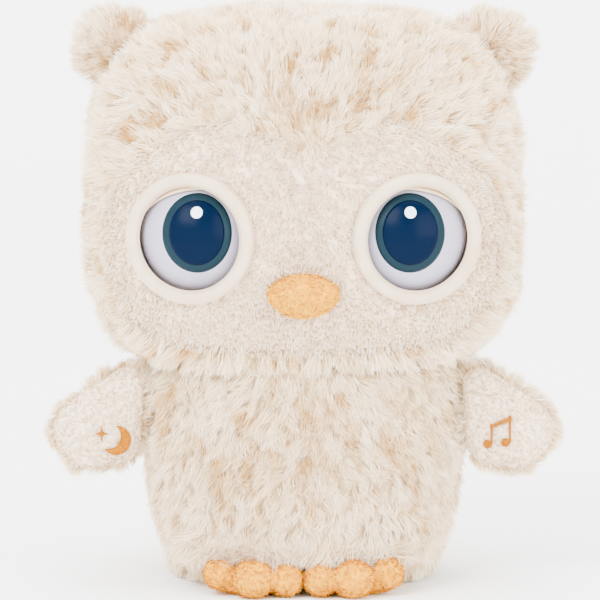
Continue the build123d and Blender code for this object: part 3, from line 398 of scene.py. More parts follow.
PILE_ROOT = 0.25
TUFT = 7                      # blades that stand together in short pile
TUFT_R = 0.42
TUFT_CLOSE = 0.38
PILE_WIDTH = 0.22


def blades(name, paths, widths, facing, shade_rows, pile, body, low_z=FLOOR_GAP):
    """Tapered strands as narrow blades. Paths is strands by steps by xyz, the last step the tip."""
    strands, steps, _ = paths.shape
    paths[..., 2] = np.maximum(paths[..., 2], low_z)
    sideways = unit(np.cross(unit(paths[:, -1] - paths[:, 0]), facing))
    taper = 1 - TIP_TAPER * (np.arange(steps - 1) / (steps - 1)) ** 1.5
    half = 0.5 * widths[:, None, None] * taper[None, :, None] * sideways[:, None, :]
    per_strand = 2 * (steps - 1) + 1
    quads = [(2 * step, 2 * step + 1, 2 * step + 3, 2 * step + 2) for step in range(steps - 2)]
    corners = np.concatenate([*quads, (per_strand - 3, per_strand - 2, per_strand - 1)])
    for number, start in enumerate(range(0, strands, PER_PIECE)):
        part = slice(start, start + PER_PIECE)
        path = paths[part]
        count = len(path)
        rings = np.stack([path[:, :-1] - half[part], path[:, :-1] + half[part]], axis=2)
        points = np.concatenate([rings.reshape(count, -1, 3), path[:, -1:]], axis=1)
        loops = ((np.arange(count) * per_strand)[:, None] + corners).ravel()
        sizes = np.tile([4] * (steps - 2) + [3], count)
        starts = np.concatenate([[0], np.cumsum(sizes)[:-1]])
        mesh = bpy.data.meshes.new(f"{name}_{number}")
        mesh.vertices.add(count * per_strand)
        mesh.vertices.foreach_set("co", (points.reshape(-1) * MM).astype(np.float32))
        mesh.loops.add(len(loops))
        mesh.loops.foreach_set("vertex_index", loops.astype(np.int32))
        mesh.polygons.add(len(sizes))
        mesh.polygons.foreach_set("loop_start", starts.astype(np.int32))
        mesh.polygons.foreach_set("loop_total", sizes.astype(np.int32))
        for shade in pile["shades"]:
            mesh.materials.append(shade)
        mesh.polygons.foreach_set("material_index", shade_rows[part].reshape(-1).astype(np.int32))
        mesh.polygons.foreach_set("use_smooth", np.full(len(sizes), True))
        mesh.update(calc_edges=True)
        piece = bpy.data.objects.new(f"{name}_{number}", mesh)
        bpy.context.scene.collection.objects.link(piece)
        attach(piece, body)


def tufts(surface, comb, density, rng, keep, seed, swirl, wander, stray):
    """Where tufts stand, with their normals, headings and sides, combed with some sway."""
    centre, normal = scatter(surface, density, rng)
    if keep is not None:
        chosen = keep(centre)
        centre, normal = centre[chosen], normal[chosen]
    ahead = tangent(comb(centre, normal), normal)
    side = np.cross(normal, ahead)
    sway = wander * drift(centre, swirl, seed + 1) + stray * rng.normal(size=len(centre))
    ahead = unit(ahead * np.cos(sway)[:, None] + side * np.sin(sway)[:, None])
    return centre, normal, ahead, np.cross(normal, ahead)


def long_fur(name, surface, comb, body, seed, keep=None, length=8.6, clumps=0.24, hairs=21,
             lift=(30, 80), patches=11.5, patch_size=(5.0, 2.6), patch_depth=1.15, tidy=None):
    """Long pile in soft clumps, with short tan patches between them."""
    rng = np.random.default_rng(seed)
    centre, normal, direction, side = tufts(surface, comb, clumps, rng, keep, seed, 30, 0.45, 0.245)

    spots = spaced(centre, patches, rng)
    size = rng.uniform(0.55, 1.2, len(spots))
    depth = patch_depth * rng.uniform(0.35, 1.0, len(spots))

    def tan_at(places):
        """How tan the pile is at these places, from 0 to 1."""
        gap = places[:, None, :] - centre[spots][None, :, :]
        along = np.einsum("cpk,pk->cp", gap, direction[spots])
        across = np.einsum("cpk,pk->cp", gap, side[spots])
        reach = np.sqrt((along / patch_size[0]) ** 2 + (across / patch_size[1]) ** 2) / size
        nearest = reach.argmin(axis=1)
        share = np.clip(1.45 - reach[np.arange(len(places)), nearest], 0, 1)
        return np.clip(share * depth[nearest] + 0.1 * rng.normal(size=len(places)), 0, 1)

    tan = tan_at(centre)
    tip_tan = tan_at(centre + 0.55 * length * direction)

    count = len(centre) * hairs
    owner = np.repeat(np.arange(len(centre)), hairs)
    spread = CLUMP_R * np.sqrt(rng.random(count))
    angle = rng.uniform(0, 2 * math.pi, count)
    offset = spread[:, None] * (
        np.cos(angle)[:, None] * direction[owner] + np.sin(angle)[:, None] * side[owner]
    )
    own_length = length * (1 - 0.5 * tan[owner]) * rng.uniform(0.75, 1.12, count)
    own_length *= (0.88 + 0.2 * drift(centre, 18, seed + 2))[owner]
    low, high = math.radians(lift[0]), math.radians(lift[1])
    start_angle = low + rng.normal(size=count) * 0.14
    swing = (high - low) * (1 - 0.25 * tan[owner]) + rng.normal(size=count) * 0.12
    curl = rng.normal(size=len(centre)) * 0.5
    paths = np.zeros((count, FUR_STEPS, 3))
    paths[:, 0] = centre[owner] + offset - FUR_ROOT * normal[owner]
    stride = (own_length / (FUR_STEPS - 1))[:, None]
    for step in range(1, FUR_STEPS):
        share = (step - 0.5) / (FUR_STEPS - 1)
        bend = start_angle + swing * share
        turn = (curl[owner] * share + 0.12 * rng.normal(size=count))[:, None]
        ahead = direction[owner] * np.cos(turn) + side[owner] * np.sin(turn)
        paths[:, step] = paths[:, step - 1] + stride * (
            np.cos(bend)[:, None] * normal[owner] + np.sin(bend)[:, None] * ahead
            - CLUMP_CLOSE * offset / length
        )
    facing = unit(normal[owner] + 0.45 * rng.normal(size=(count, 3)))
    widths = rng.uniform(*FUR_WIDTH, count)
    plain = rng.normal(3.9, 0.6, count) + (0.35 * drift(centre, 25, seed + 3))[owner]
    tone_rows = np.stack([
        plain - 1.3 - 2.2 * tan[owner], plain - 0.4 - 3.0 * np.maximum(tan, tip_tan)[owner],
        plain - 3.4 * tip_tan[owner],
    ], axis=1)
    brightest = len(CREAM["shades"]) - 1
    shade_rows = np.clip(np.round(tone_rows), 0, brightest).astype(int)
    if tidy is not None:
        paths = tidy(paths)
    blades(name, paths, widths, facing, shade_rows, CREAM, body)


def short_pile(name, surface, comb, body, seed, pile, keep=None, length=1.9, density=8.0,
               lift=(22, 60), low_z=FLOOR_GAP):
    """Short dense pile with a nap."""
    rng = np.random.default_rng(seed)
    centre, up, ahead, side = tufts(surface, comb, density / TUFT, rng, keep, seed, 16, 0.5, 0.4)
    nap = drift(centre, 5, seed + 2)
    lean = 0.22 * rng.normal(size=len(centre))
    brightness = rng.normal(0, 0.55, len(centre)) + 0.45 * nap

    owner = np.repeat(np.arange(len(centre)), TUFT)
    count = len(owner)
    normal, direction = up[owner], ahead[owner]
    angle = rng.uniform(0, 2 * math.pi, count)
    spread = TUFT_R * np.sqrt(rng.random(count))
    offset = spread[:, None] * (
        1.3 * np.cos(angle)[:, None] * direction + np.sin(angle)[:, None] * side[owner]
    )
    own_length = length * rng.uniform(0.8, 1.12, count) * (1 + 0.12 * nap[owner])
    bend_low = math.radians(lift[0]) + lean[owner] + 0.08 * rng.normal(size=count)
    bend_high = math.radians(lift[1]) + lean[owner] + 0.1 * rng.normal(size=count)
    paths = np.zeros((count, 3, 3))
    paths[:, 0] = centre[owner] + offset - PILE_ROOT * normal
    for step, bend in ((1, bend_low), (2, bend_high)):
        paths[:, step] = paths[:, step - 1] - TUFT_CLOSE * offset + 0.5 * own_length[:, None] * (
            np.cos(bend)[:, None] * normal + np.sin(bend)[:, None] * direction
        )
    facing = unit(normal + 0.3 * rng.normal(size=(count, 3)))
    top = len(pile["shades"]) - 1
    tone = np.clip(np.round(rng.normal(top - 0.75, 0.45, count) + brightness[owner]), 0, top)
    tone = tone.astype(int)
    shade_rows = np.stack([np.maximum(tone - 1, 0), tone], axis=1)
    widths = rng.uniform(0.75, 1.2, count) * PILE_WIDTH
    blades(name, paths, widths, facing, shade_rows, pile, body, low_z)


# ---- head ---------------------------------------------------------------------------
def eye_axis(side):
    return np.array([side * math.sin(EYE_YAW), -math.cos(EYE_YAW), 0.0])


def eye_centre(side):
    return np.array([side * EYE_X, EYE_Y, EYE_Z])


def around_eye(points, side):
    """Distance from a socket's axis, and depth along it."""
    away = points - eye_centre(side)
    depth = away @ eye_axis(side)
    radius = np.linalg.norm(away - depth[..., None] * eye_axis(side), axis=-1)
    return radius, depth


def ease(value, low, high):
    share = np.clip((value - low) / (high - low), 0, 1)
    return share * share * (3 - 2 * share)


def face_polygon():
    """The whole face edge as a smooth closed outline in X and Z."""
    half = np.array(FACE_EDGE, dtype=float)
    other = half[-2:0:-1] * (-1, 1)
    loop = np.concatenate([half, other])
    wrapped = np.concatenate([loop[-2:], loop, loop[:3]])
    rows = smooth_rows(wrapped, (len(wrapped) - 1) * 8 + 1)
    return rows[16:-16]


FACE_LOOP = face_polygon()


def face_reach(points):
    """Signed distance inside the face edge, seen from the front; negative outside or behind."""
    x, z = points[:, 0], points[:, 2]
    inside = np.zeros(len(points), dtype=bool)
    nearest = np.full(len(points), 1e9)
    corners = FACE_LOOP
    for (x0, z0), (x1, z1) in zip(corners, np.roll(corners, -1, axis=0)):
        crosses = ((z0 > z) != (z1 > z)) & (
            x < (x1 - x0) * (z - z0) / (z1 - z0 + 1e-12) + x0
        )
        inside ^= crosses
        edge = np.array([x1 - x0, z1 - z0])
        span = max(float(edge @ edge), 1e-9)
        share = np.clip(((x - x0) * edge[0] + (z - z0) * edge[1]) / span, 0, 1)
        gap = np.hypot(x - x0 - share * edge[0], z - z0 - share * edge[1])
        nearest = np.minimum(nearest, gap)
    reach = np.where(inside, nearest, -nearest)
    return np.where(points[:, 1] < MID_Y, reach, -40.0)


HEAD_ROWS, HEAD_COLUMNS = 170, 360
head_points = form_grid(
    HEAD_PROFILE, HEAD_HALF, HEAD_TALL, SEAM_Z, HEAD_POWER, HEAD_ROWS, HEAD_COLUMNS
)
head_middle = np.array([0, MID_Y, SEAM_Z + HEAD_TALL / 2])
head_normals = grid_normals(head_points, head_middle)
head_points = head_points - SKIN_INSET * head_normals

# The face cloth is drawn in to the bezels.
FACE_PULL_R = 15.0            # how far round each bezel the cloth is drawn in
for side in (-1, 1):
    radius, depth = around_eye(head_points, side)
    pull = 1 - ease(radius, BEZEL_OUT_R - 0.5, BEZEL_OUT_R + FACE_PULL_R)
    pull *= head_points[..., 1] < 0
    head_points += (pull * (FACE_DEPTH_AT_BEZEL - depth))[..., None] * eye_axis(side)
head_normals = grid_normals(head_points, head_middle)
head_surface = surface_of(head_points, head_normals, grid_faces(HEAD_ROWS, HEAD_COLUMNS))
flat_points = head_surface["points"]
reach_of_vertex = face_reach(flat_points)
radius_of_vertex = np.minimum(
    around_eye(flat_points, 1)[0], around_eye(flat_points, -1)[0]
) + 100 * (flat_points[:, 1] > 0)

# The pile's backing is a darker tan than the pile: partly the cloth's own tone, partly painted shade
# among the roots of the pile.
fur_cloth = mottle(new_material("fur_backing", (226, 196, 156), 0.9), (216, 182, 138),
                   (232, 206, 170), 260.0)
weave(fur_cloth, 900.0, 0.0002)
face_cloth = mottle(new_material("face_cloth", (236, 212, 182), 0.9, Sheen_Weight=0.4),
                    (230, 204, 172), (242, 222, 196), 900.0)
rough_grain(face_cloth, 2600.0, 0.0004)


# Cloth thicknesses, and how far the hood and the face run under each other's edge.
CLOTH_THICK = 1.0
BODY_CLOTH_THICK = 1.2
FLAP_THICK = 1.4
HOOD_LAP = 1.5
FACE_LAP = 2.5
BEZEL_LAP = 1.3


def cut_cloth(name, surface, keep_vertex, material, thickness):
    """Part of a form's cloth, thickened inwards."""
    faces = surface["faces"][keep_vertex[surface["faces"]].all(axis=1)]
    used = np.unique(faces)
    renumber = np.full(len(surface["points"]), -1)
    renumber[used] = np.arange(len(used))
    piece = make_mesh(name, surface["points"][used], renumber[faces], [material])
    return apply_modifier(piece, "SOLIDIFY", thickness=thickness * MM, offset=-1.0)


def crown_cap():
    """Closes the top of the head, inside the hood's cloth."""
    ring = head_points[-1]
    top = ring.mean(axis=0) + (0, 0, 0.4)
    points = np.concatenate([ring, [top]])
    count = len(ring)
    faces = [(k, (k + 1) % count, count) for k in range(count)]
    piece = make_mesh("crown_cloth", points, faces, [fur_cloth])
    stand_for(piece, "long_fur", "root", "hood_plush")
    fan = [(k, (k + 1) % count, count, count) for k in range(count)]
    return surface_of(points, np.tile((0, 0, 1.0), (count + 1, 1)), fan)


hood_cloth = cut_cloth("hood_cloth", head_surface, reach_of_vertex < HOOD_LAP, fur_cloth,
                       CLOTH_THICK)
stand_for(hood_cloth, "long_fur", "root", "hood_plush")
crown_surface = crown_cap()

on_panel = (reach_of_vertex > -FACE_LAP) & (radius_of_vertex > BEZEL_OUT_R - BEZEL_LAP)
face_skin = cut_cloth("face_cloth", head_surface, on_panel, face_cloth, CLOTH_THICK)
stand_for(face_skin, "short_plush", "root", "face_panel")


def clear_of_eyes(points, margin):
    near = np.minimum(around_eye(points, 1)[0], around_eye(points, -1)[0])
    return (near > BEZEL_OUT_R + margin) | (points[:, 1] > 0)


# Where the pile of the hood, the crown and the face fans out from.
HOOD_FAN = np.array([0.0, -78.0, 120.0])
CROWN_FAN = np.array([0.0, -40.0, 190.0])
BROW_FAN = np.array([0.0, -60.0, 150.0])


def hood_comb(points, normals):
    """Away from the face over the top and sides, then down the back."""
    away = unit(points - HOOD_FAN) + np.array([0.0, 0.0, -0.3])
    behind = ease(points[:, 1], 0, 45)[:, None]
    return away * (1 - behind) + np.array([0.0, 0.0, -1.0]) * behind


def on_hood(points):
    return (face_reach(points) < 0.3) & clear_of_eyes(points, 0.5)


long_fur("hood_fur", head_surface, hood_comb, "root", 11, keep=on_hood)


def brim_comb(points, normals):
    """Along the brow and down over the edge of the face."""
    out = np.zeros_like(points)
    out[:, 0] = 0.9 * np.sign(points[:, 0]) * np.minimum(np.abs(points[:, 0]) / 12.0, 1.0)
    out[:, 2] = -0.55
    return out


def on_brim(points):
    reach = face_reach(points)
    return (reach > -3.5) & (reach < 0.8) & (points[:, 2] > 92.0) & clear_of_eyes(points, 1.0)


long_fur("brim_fur", head_surface, brim_comb, "root", 13, keep=on_brim, length=5.0, clumps=0.45,
         hairs=15, lift=(35, 82), patches=9.0, patch_size=(3.6, 2.0))
long_fur("crown_fur", crown_surface, lambda p, n: p - CROWN_FAN, "root", 12)


def face_comb(points, normals):
    """Nap that runs out from the brow and down the cheeks."""
    return unit(points - BROW_FAN) + np.array([0.0, 0.0, -0.5])


def on_face(points):
    return (face_reach(points) > -1.0) & clear_of_eyes(points, 0.15)


short_pile("face_pile", head_surface, face_comb, "root", 21, MINKY, keep=on_face, length=2.1,
           density=10.0)

# ---- body ---------------------------------------------------------------------------
BODY_ROWS, BODY_COLUMNS = 110, 300
body_points = form_grid(
    BODY_PROFILE, BODY_HALF, BODY_TALL, BODY_LOW[2], BODY_POWER, BODY_ROWS, BODY_COLUMNS
)
body_middle = np.array([0, MID_Y, BODY_TALL / 2])
body_normals = grid_normals(body_points, body_middle)
flat_inset = body_normals * np.array([1.0, 1.0, 0.0])
body_points = body_points - SKIN_INSET * flat_inset
BELLY_OUT = 6.0               # the belly hangs this far out over the toes
BELLY_FROM, BELLY_TO = (11.5, 17.0), (24.0, 52.0)     # heights over which it swells and ends
BELLY_SIDES = (34.0, 52.0)
belly = ease(body_points[..., 2], *BELLY_FROM) * (1 - ease(body_points[..., 2], *BELLY_TO))
belly *= (1 - ease(np.abs(body_points[..., 0]), *BELLY_SIDES)) * (body_points[..., 1] < MID_Y)
body_points[..., 1] -= BELLY_OUT * belly
body_normals = grid_normals(body_points, body_middle)
body_surface = surface_of(body_points, body_normals, grid_faces(BODY_ROWS, BODY_COLUMNS))
body_flat = body_surface["points"]

FLAP_LOW, FLAP_HIGH = node_box("back_flap")
WINDOW_MARGIN = 0.6
FLAP_MARGIN = -0.2
FLAP_FUR_MARGIN = -1.8
BODY_FUR_MARGIN = 1.2
BODY_FUR_LOW = 4.0


def in_window(points, margin=0.0):
    """Inside the back flap's outline."""
    return (
        (points[:, 1] > MID_Y) & (np.abs(points[:, 0]) < FLAP_HIGH[0] + margin)
        & (points[:, 2] > FLAP_LOW[2] - margin) & (points[:, 2] < FLAP_HIGH[2] + margin)
    )


body_cloth = cut_cloth("body_cloth", body_surface, ~in_window(body_flat, WINDOW_MARGIN), fur_cloth,
                       BODY_CLOTH_THICK)
stand_for(body_cloth, "long_fur", "root", "body_plush")
flap_cloth = cut_cloth("flap_cloth", body_surface, in_window(body_flat, FLAP_MARGIN), fur_cloth,
                       FLAP_THICK)
stand_for(flap_cloth, "long_fur", "flap", "back_flap")


def body_comb(points, normals):
    down = np.zeros_like(points)
    down[:, 2] = -1.0
    down[:, 0] = 0.006 * points[:, 0]
    return down


FUR_LOW = 1.0                 # body fur flattens out under this height


def off_floor(paths):
    """Body fur flattens out just over the floor instead of going into it."""
    height = paths[..., 2]
    paths[..., 2] = np.where(height < FUR_LOW, FUR_LOW + 0.1 * (height - FUR_LOW), height)
    return paths


long_fur("body_fur", body_surface, body_comb, "root", 31,
         keep=lambda p: ~in_window(p, BODY_FUR_MARGIN) & (p[:, 2] > BODY_FUR_LOW), tidy=off_floor,
         patch_depth=0.85, patch_size=(6.0, 2.8), patches=13.0)

TOE_TOP = 10.8
HEM_TOE_Y = node_box("foot_left", "foot_right")[0][1] + 12.0
HEM_TOE_DEEP = 12.5
HEM_FRONT_Y = -18.0
HEM_HALF_W = 40.0
HEM_Z = (12.5, 22.0)


def hem_comb(points, normals):
    out = normals * (1.0, 1.0, 0.0) * 0.9
    out[:, 2] = -0.62
    return out


def on_hem(points):
    front = (points[:, 1] < HEM_FRONT_Y) & (np.abs(points[:, 0]) < HEM_HALF_W)
    return front & (points[:, 2] > HEM_Z[0]) & (points[:, 2] < HEM_Z[1])


def over_toes(paths):
    """Fringe that would sink into the toes lies on top of them."""
    away = np.maximum(HEM_TOE_Y - paths[..., 1], 0) / HEM_TOE_DEEP
    foot_top = TOE_TOP * np.sqrt(np.clip(1 - away ** 2, 0, 1))
    sunk = np.minimum(paths[..., 2] - foot_top - 0.3, 0)
    paths[..., 1] += 0.55 * sunk
    paths[..., 2] -= 0.6 * sunk
    return paths


long_fur("hem_fur", body_surface, hem_comb, "root", 33, keep=on_hem, length=15.5, clumps=0.34,
         hairs=20, lift=(30, 96), patches=18.0, patch_depth=0.5, tidy=over_toes)
long_fur("flap_fur", body_surface, body_comb, "flap", 32,
         keep=lambda p: in_window(p, FLAP_FUR_MARGIN), length=8.0)

# ---- ears ---------------------------------------------------------------------------
def ellipsoid(centre, radii, rows=40, columns=64, powers=(2.0, 2.0)):
    """A closed egg, as grid points with normals; powers square it up in plan and height."""
    lat = np.linspace(-math.pi / 2, math.pi / 2, rows)[:, None]
    lon = np.linspace(0, 2 * math.pi, columns, endpoint=False)[None, :]

    def shaped(value, power):
        return np.sign(value) * np.abs(value) ** (2 / power)

    ring = shaped(np.cos(lat), powers[1])
    points = np.stack([
        radii[0] * ring * shaped(np.cos(lon), powers[0]),
        radii[1] * ring * shaped(np.sin(lon), powers[0]),
        radii[2] * shaped(np.sin(lat), powers[1]) + 0 * lon,
    ], axis=-1)
    normals = unit(points / np.array(radii) ** 2 + 1e-9)
    return points + np.array(centre), normals, grid_faces(rows, columns)


EAR_BLEND = 3.0               # the ear's cloth runs this far into the hood's seam
for side, name in SIDES:
    low, high = node_box("ear_" + name)
    ear_centre = (low + high) / 2 - (side * EAR_BLEND, 0, 0)
    radii = (high - low) / 2 + (EAR_BLEND - 1.5, -1.0, -1.5)
    points, normals, faces = ellipsoid(ear_centre, radii)
    ear = make_mesh("ear_cloth_" + name, points, faces, [fur_cloth])
    stand_for(ear, "long_fur", "root", "ear_" + name)

    def ear_comb(points, normals):
        return points - ear_centre + np.array([side * 4.0, 0.0, 6.0])

    long_fur("ear_fur_" + name, surface_of(points, normals, faces), ear_comb, "root", 41 + side,
             keep=lambda p: np.abs(p[:, 0]) > 50.0, length=7.5, lift=(15, 60), patches=15.0)

# ---- eyes ---------------------------------------------------------------------------
def turned(points, side, yaw, pitch=0.0):
    """Points drawn about +Z, turned to look along an eye's own axis."""
    out = Vector((side * math.sin(yaw) * math.cos(pitch), -math.cos(yaw) * math.cos(pitch),
                  math.sin(pitch)))
    across = Vector((-out.y, out.x, 0)).normalized()
    up = out.cross(across)
    basis = np.array([across, up, out])
    return points @ basis + eye_centre(side)


def lathe(profile, columns=160):
    """A closed ring swept round Z from radius and height pairs."""
    turn = np.linspace(0, 2 * math.pi, columns, endpoint=False)
    profile = np.array(profile)
    points = np.zeros((len(profile), columns, 3))
    points[..., 0] = profile[:, 0:1] * np.cos(turn)
    points[..., 1] = profile[:, 0:1] * np.sin(turn)
    points[..., 2] = profile[:, 1:2]
    return points


ROLL_MIDDLE_R, ROLL_HALF_W = 20.15, 2.15      # the bezel's rolled front
ROLL_Z, ROLL_TALL = 15.7, 1.55


def rounded_profile():
    """The bezel's section: a soft rolled front, and a back that follows the lid's sphere."""
    section = [(BEZEL_IN_R, 14.85), (BEZEL_IN_R, ROLL_Z)]
    for step in range(13):
        turn = math.pi * (1 - step / 12)
        section.append((ROLL_MIDDLE_R + ROLL_HALF_W * math.cos(turn),
                        ROLL_Z + ROLL_TALL * math.sin(turn)))
    section += [(BEZEL_OUT_R, 12.0), (BEZEL_OUT_R, 8.2), (21.8, 8.2), (20.9, 10.2), (19.7, 12.4)]
    return section


bezel_plastic = rough_grain(
    mottle(new_material("bezel_plastic", (208, 185, 156), 0.42, Specular_IOR_Level=0.35),
           (204, 180, 150), (212, 190, 162), 120.0), 900.0, 0.00004, 0.36, 0.5)
eye_white = mottle(new_material("eye_white", (154, 151, 167), 0.2, Specular_IOR_Level=0.2),
                   (150, 147, 163), (158, 155, 171), 60.0)
INKS = {
    "iris_print": new_material("iris_print", (17, 34, 42), 0.3, Specular_IOR_Level=0.04),
    "pupil_print": new_material("pupil_print", (1, 14, 34), 0.26, Specular_IOR_Level=0.03),
    "glint_print": new_material("glint_print", (216, 220, 230), 0.25, Specular_IOR_Level=0.25),
}
lid_plastic = rough_grain(
    mottle(new_material("lid_plastic", (200, 172, 134), 0.4), (195, 166, 128),
           (206, 179, 142), 140.0), 1200.0, 0.00004, 0.34, 0.48)


def print_patch(name, side, half, lift, slot, node, rise=0.0):
    """A printed oval that hugs the eyeball, seen along the gaze, in its slot's ink."""
    rings, columns = 14, 120
    share = np.linspace(0, 1, rings)[:, None]
    turn = np.linspace(0, 2 * math.pi, columns, endpoint=False)[None, :]
    radius = EYEBALL_R + lift
    x = share * half[0] * np.cos(turn)
    y = share * half[1] * np.sin(turn) + rise
    z = np.sqrt(radius ** 2 - x ** 2 - y ** 2)
    front = np.stack([x, y, z], axis=-1)
    skirt = front[-1:] * (EYEBALL_R - 0.05) / radius
    points = np.concatenate([front, skirt]).reshape(-1, 3)
    piece = make_mesh(name, turned(points, side, GAZE_YAW, GAZE_PITCH),
                      grid_faces(rings + 1, columns), [INKS[slot]])
    stand_for(piece, slot, "root", node)


def dome_arc(radius, start, end, steps):
    """Radius and height pairs along a sphere's side, between two latitudes."""
    return [(radius * math.cos(a), radius * math.sin(a)) for a in np.linspace(start, end, steps)]


IRIS_HALF = (11.8, 13.45)
PUPIL_HALF = (9.4, 10.95)
GLINT_HALF = (2.0, 2.0)
GLINT_RISE = 6.8
EYE_WALL = 1.2
DOME_BACK = -4.0              # the dome's rim, behind its middle
DOME_TOP = math.pi / 2 - 0.001
for side, name in SIDES:
    ring = lathe(rounded_profile())
    faces = grid_faces(*ring.shape[:2], ring=True)
    bezel = make_mesh("bezel_ring_" + name, turned(ring.reshape(-1, 3), side, EYE_YAW), faces,
                      [bezel_plastic])
    stand_for(bezel, "bezel_plastic", "root", "bezel_" + name)

    inner_r = EYEBALL_R - EYE_WALL
    dome = dome_arc(inner_r, DOME_TOP, math.asin(DOME_BACK / inner_r), 30)
    dome += dome_arc(EYEBALL_R, math.asin(DOME_BACK / EYEBALL_R), DOME_TOP, 60)
    shell = lathe(dome, 140)
    eyeball = make_mesh("eye_dome_" + name, turned(shell.reshape(-1, 3), side, EYE_YAW),
                        grid_faces(*shell.shape[:2]), [eye_white])
    stand_for(eyeball, "eye_white", "root", "eyeball_" + name)

    print_patch("iris_ring_" + name, side, IRIS_HALF, 0.02, "iris_print", "iris_" + name)
    print_patch("pupil_disc_" + name, side, PUPIL_HALF, 0.045, "pupil_print", "pupil_" + name)
    print_patch("eye_glint_" + name, side, GLINT_HALF, 0.07, "glint_print", "eye_glints",
                GLINT_RISE)

# ---- lids ---------------------------------------------------------------------------
LID_OUT_R = 22.5
LID_IN_R = 21.6
LID_FRONT = math.radians(50.0)
LID_BACK = math.radians(160.0)
LID_POLE = math.radians(9.4)


def lid_piece(side, name):
    """A wedge of a thin sphere about the X axis, with a rounded front edge."""
    rows, columns = 60, 90
    sweep = np.linspace(LID_FRONT, LID_BACK, rows)[:, None]
    polar = np.linspace(LID_POLE, math.pi - LID_POLE, columns)[None, :]
    layers = []
    for radius in (LID_OUT_R, LID_IN_R):
        layers.append(np.stack([
            radius * np.cos(polar) + 0 * sweep,
            -radius * np.sin(polar) * np.cos(sweep),
            radius * np.sin(polar) * np.sin(sweep),
        ], axis=-1))
    front = (layers[0][:1] + layers[1][:1]) / 2
    front = front + 0.28 * np.stack([
        0 * polar, -np.sin(polar) * math.sin(LID_FRONT), -np.sin(polar) * math.cos(LID_FRONT),
    ], axis=-1)
    outer, inner = layers[0], layers[1][::-1]
    loop = np.concatenate([front, outer, inner], axis=0)
    rows_all = loop.shape[0]
    points = loop.reshape(-1, 3) + eye_centre(side)
    faces = [tuple(face) for face in grid_faces(rows_all, columns, closed=False, ring=True)]
    for column in (0, columns - 1):
        for row in range(rows - 1):
            a = (1 + row) * columns + column
            b = (2 + row) * columns + column
            c = (rows_all - 1 - row) * columns + column
            d = (rows_all - 2 - row) * columns + column
            faces.append((a, b, d, c))
    piece = make_mesh("eyelid_shell_" + name, points, faces, [lid_plastic])
    stand_for(piece, "lid_plastic", "eyelids", "eyelid_" + name)


HUB_R = 4.2
HUB_BORE = 0.28               # as a share of the hub's radius


def lid_hub(side, name):
    """The two round ears that carry a lid on its pivots."""
    columns = 40
    rings = ((HUB_BORE, LID_IN_R), (1.0, LID_IN_R), (1.0, LID_OUT_R), (HUB_BORE, LID_OUT_R))
    points, faces = [], []
    for end in (-1, 1):
        faces.append(grid_faces(len(rings), columns, ring=True) + len(points))
        for share, depth in rings:
            for k in range(columns):
                turn = 2 * math.pi * k / columns
                r = HUB_R * share
                points.append((end * math.sqrt(depth ** 2 - r ** 2), r * math.cos(turn),
                               r * math.sin(turn)))
    piece = make_mesh("eyelid_hubs_" + name, np.array(points) + eye_centre(side),
                      np.concatenate(faces), [lid_plastic])
    stand_for(piece, "lid_plastic", "eyelids", "eyelid_" + name)


for side, name in SIDES:
    lid_piece(side, name)
    lid_hub(side, name)

# ---- beak and feet ------------------------------------------------------------------
gold_cloth = rough_grain(
    mottle(new_material("golden_cloth", (218, 146, 0), 0.9, Specular_IOR_Level=0.04),
           (206, 134, 0), (230, 162, 0), 700.0), 2200.0, 0.0003)

beak_low, beak_high = node_box("beak")
BEAK_HALF = (beak_high - beak_low) / 2
beak_centre = (beak_low + beak_high) / 2
beak_centre[1] = beak_high[1] - 1.0
BEAK_POWER = 1.85
BEAK_DROP = 0.14              # the widest line stands this share above the middle
points, normals, faces = ellipsoid((0, 0, 0), (BEAK_HALF[0] - 0.9, 7.0, BEAK_HALF[2] - 0.9), 50, 90)
round_reach = np.hypot(points[..., 0] / BEAK_HALF[0], points[..., 2] / BEAK_HALF[2]) + 1e-9
blunt_reach = (
    np.abs(points[..., 0] / BEAK_HALF[0]) ** BEAK_POWER
    + np.abs(points[..., 2] / BEAK_HALF[2]) ** BEAK_POWER + 1e-9
) ** (1 / BEAK_POWER)
points[..., [0, 2]] *= (round_reach / blunt_reach)[..., None]
points[..., 2] *= 1 - BEAK_DROP * np.sign(points[..., 2])
points[..., 2] += BEAK_DROP * BEAK_HALF[2]
points += beak_centre
beak = make_mesh("beak_cloth", points, faces, [gold_cloth])
stand_for(beak, "golden_plush", "root", "beak")
short_pile("beak_pile", mesh_surface(beak), lambda p, n: (p - beak_centre) * (1, 0, 1) + (0, 0, -4.0),
           "root", 51, GOLD, keep=lambda p: p[:, 1] < beak_high[1] + 1, length=1.5, density=10.0)


MIDDLE_TOE = (7.2, 7.0, 6.4)
SIDE_TOE = (5.7, 6.2, 5.5)
TOE_INSET = 5.8               # the outer toes' middles, from the foot's sides
TOE_ROOT = (0.84, 1.4, 0.86)  # the rear part of a toe, as shares of its front part
TOE_ROOT_Y = 15.0
PAD_Y = 21.0
PAD = (14.6, 12.0, 4.9)
PAD_POWERS = (2.6, 2.6)
FOOT_VOXEL = 0.8
FOOT_FLOOR = 0.25


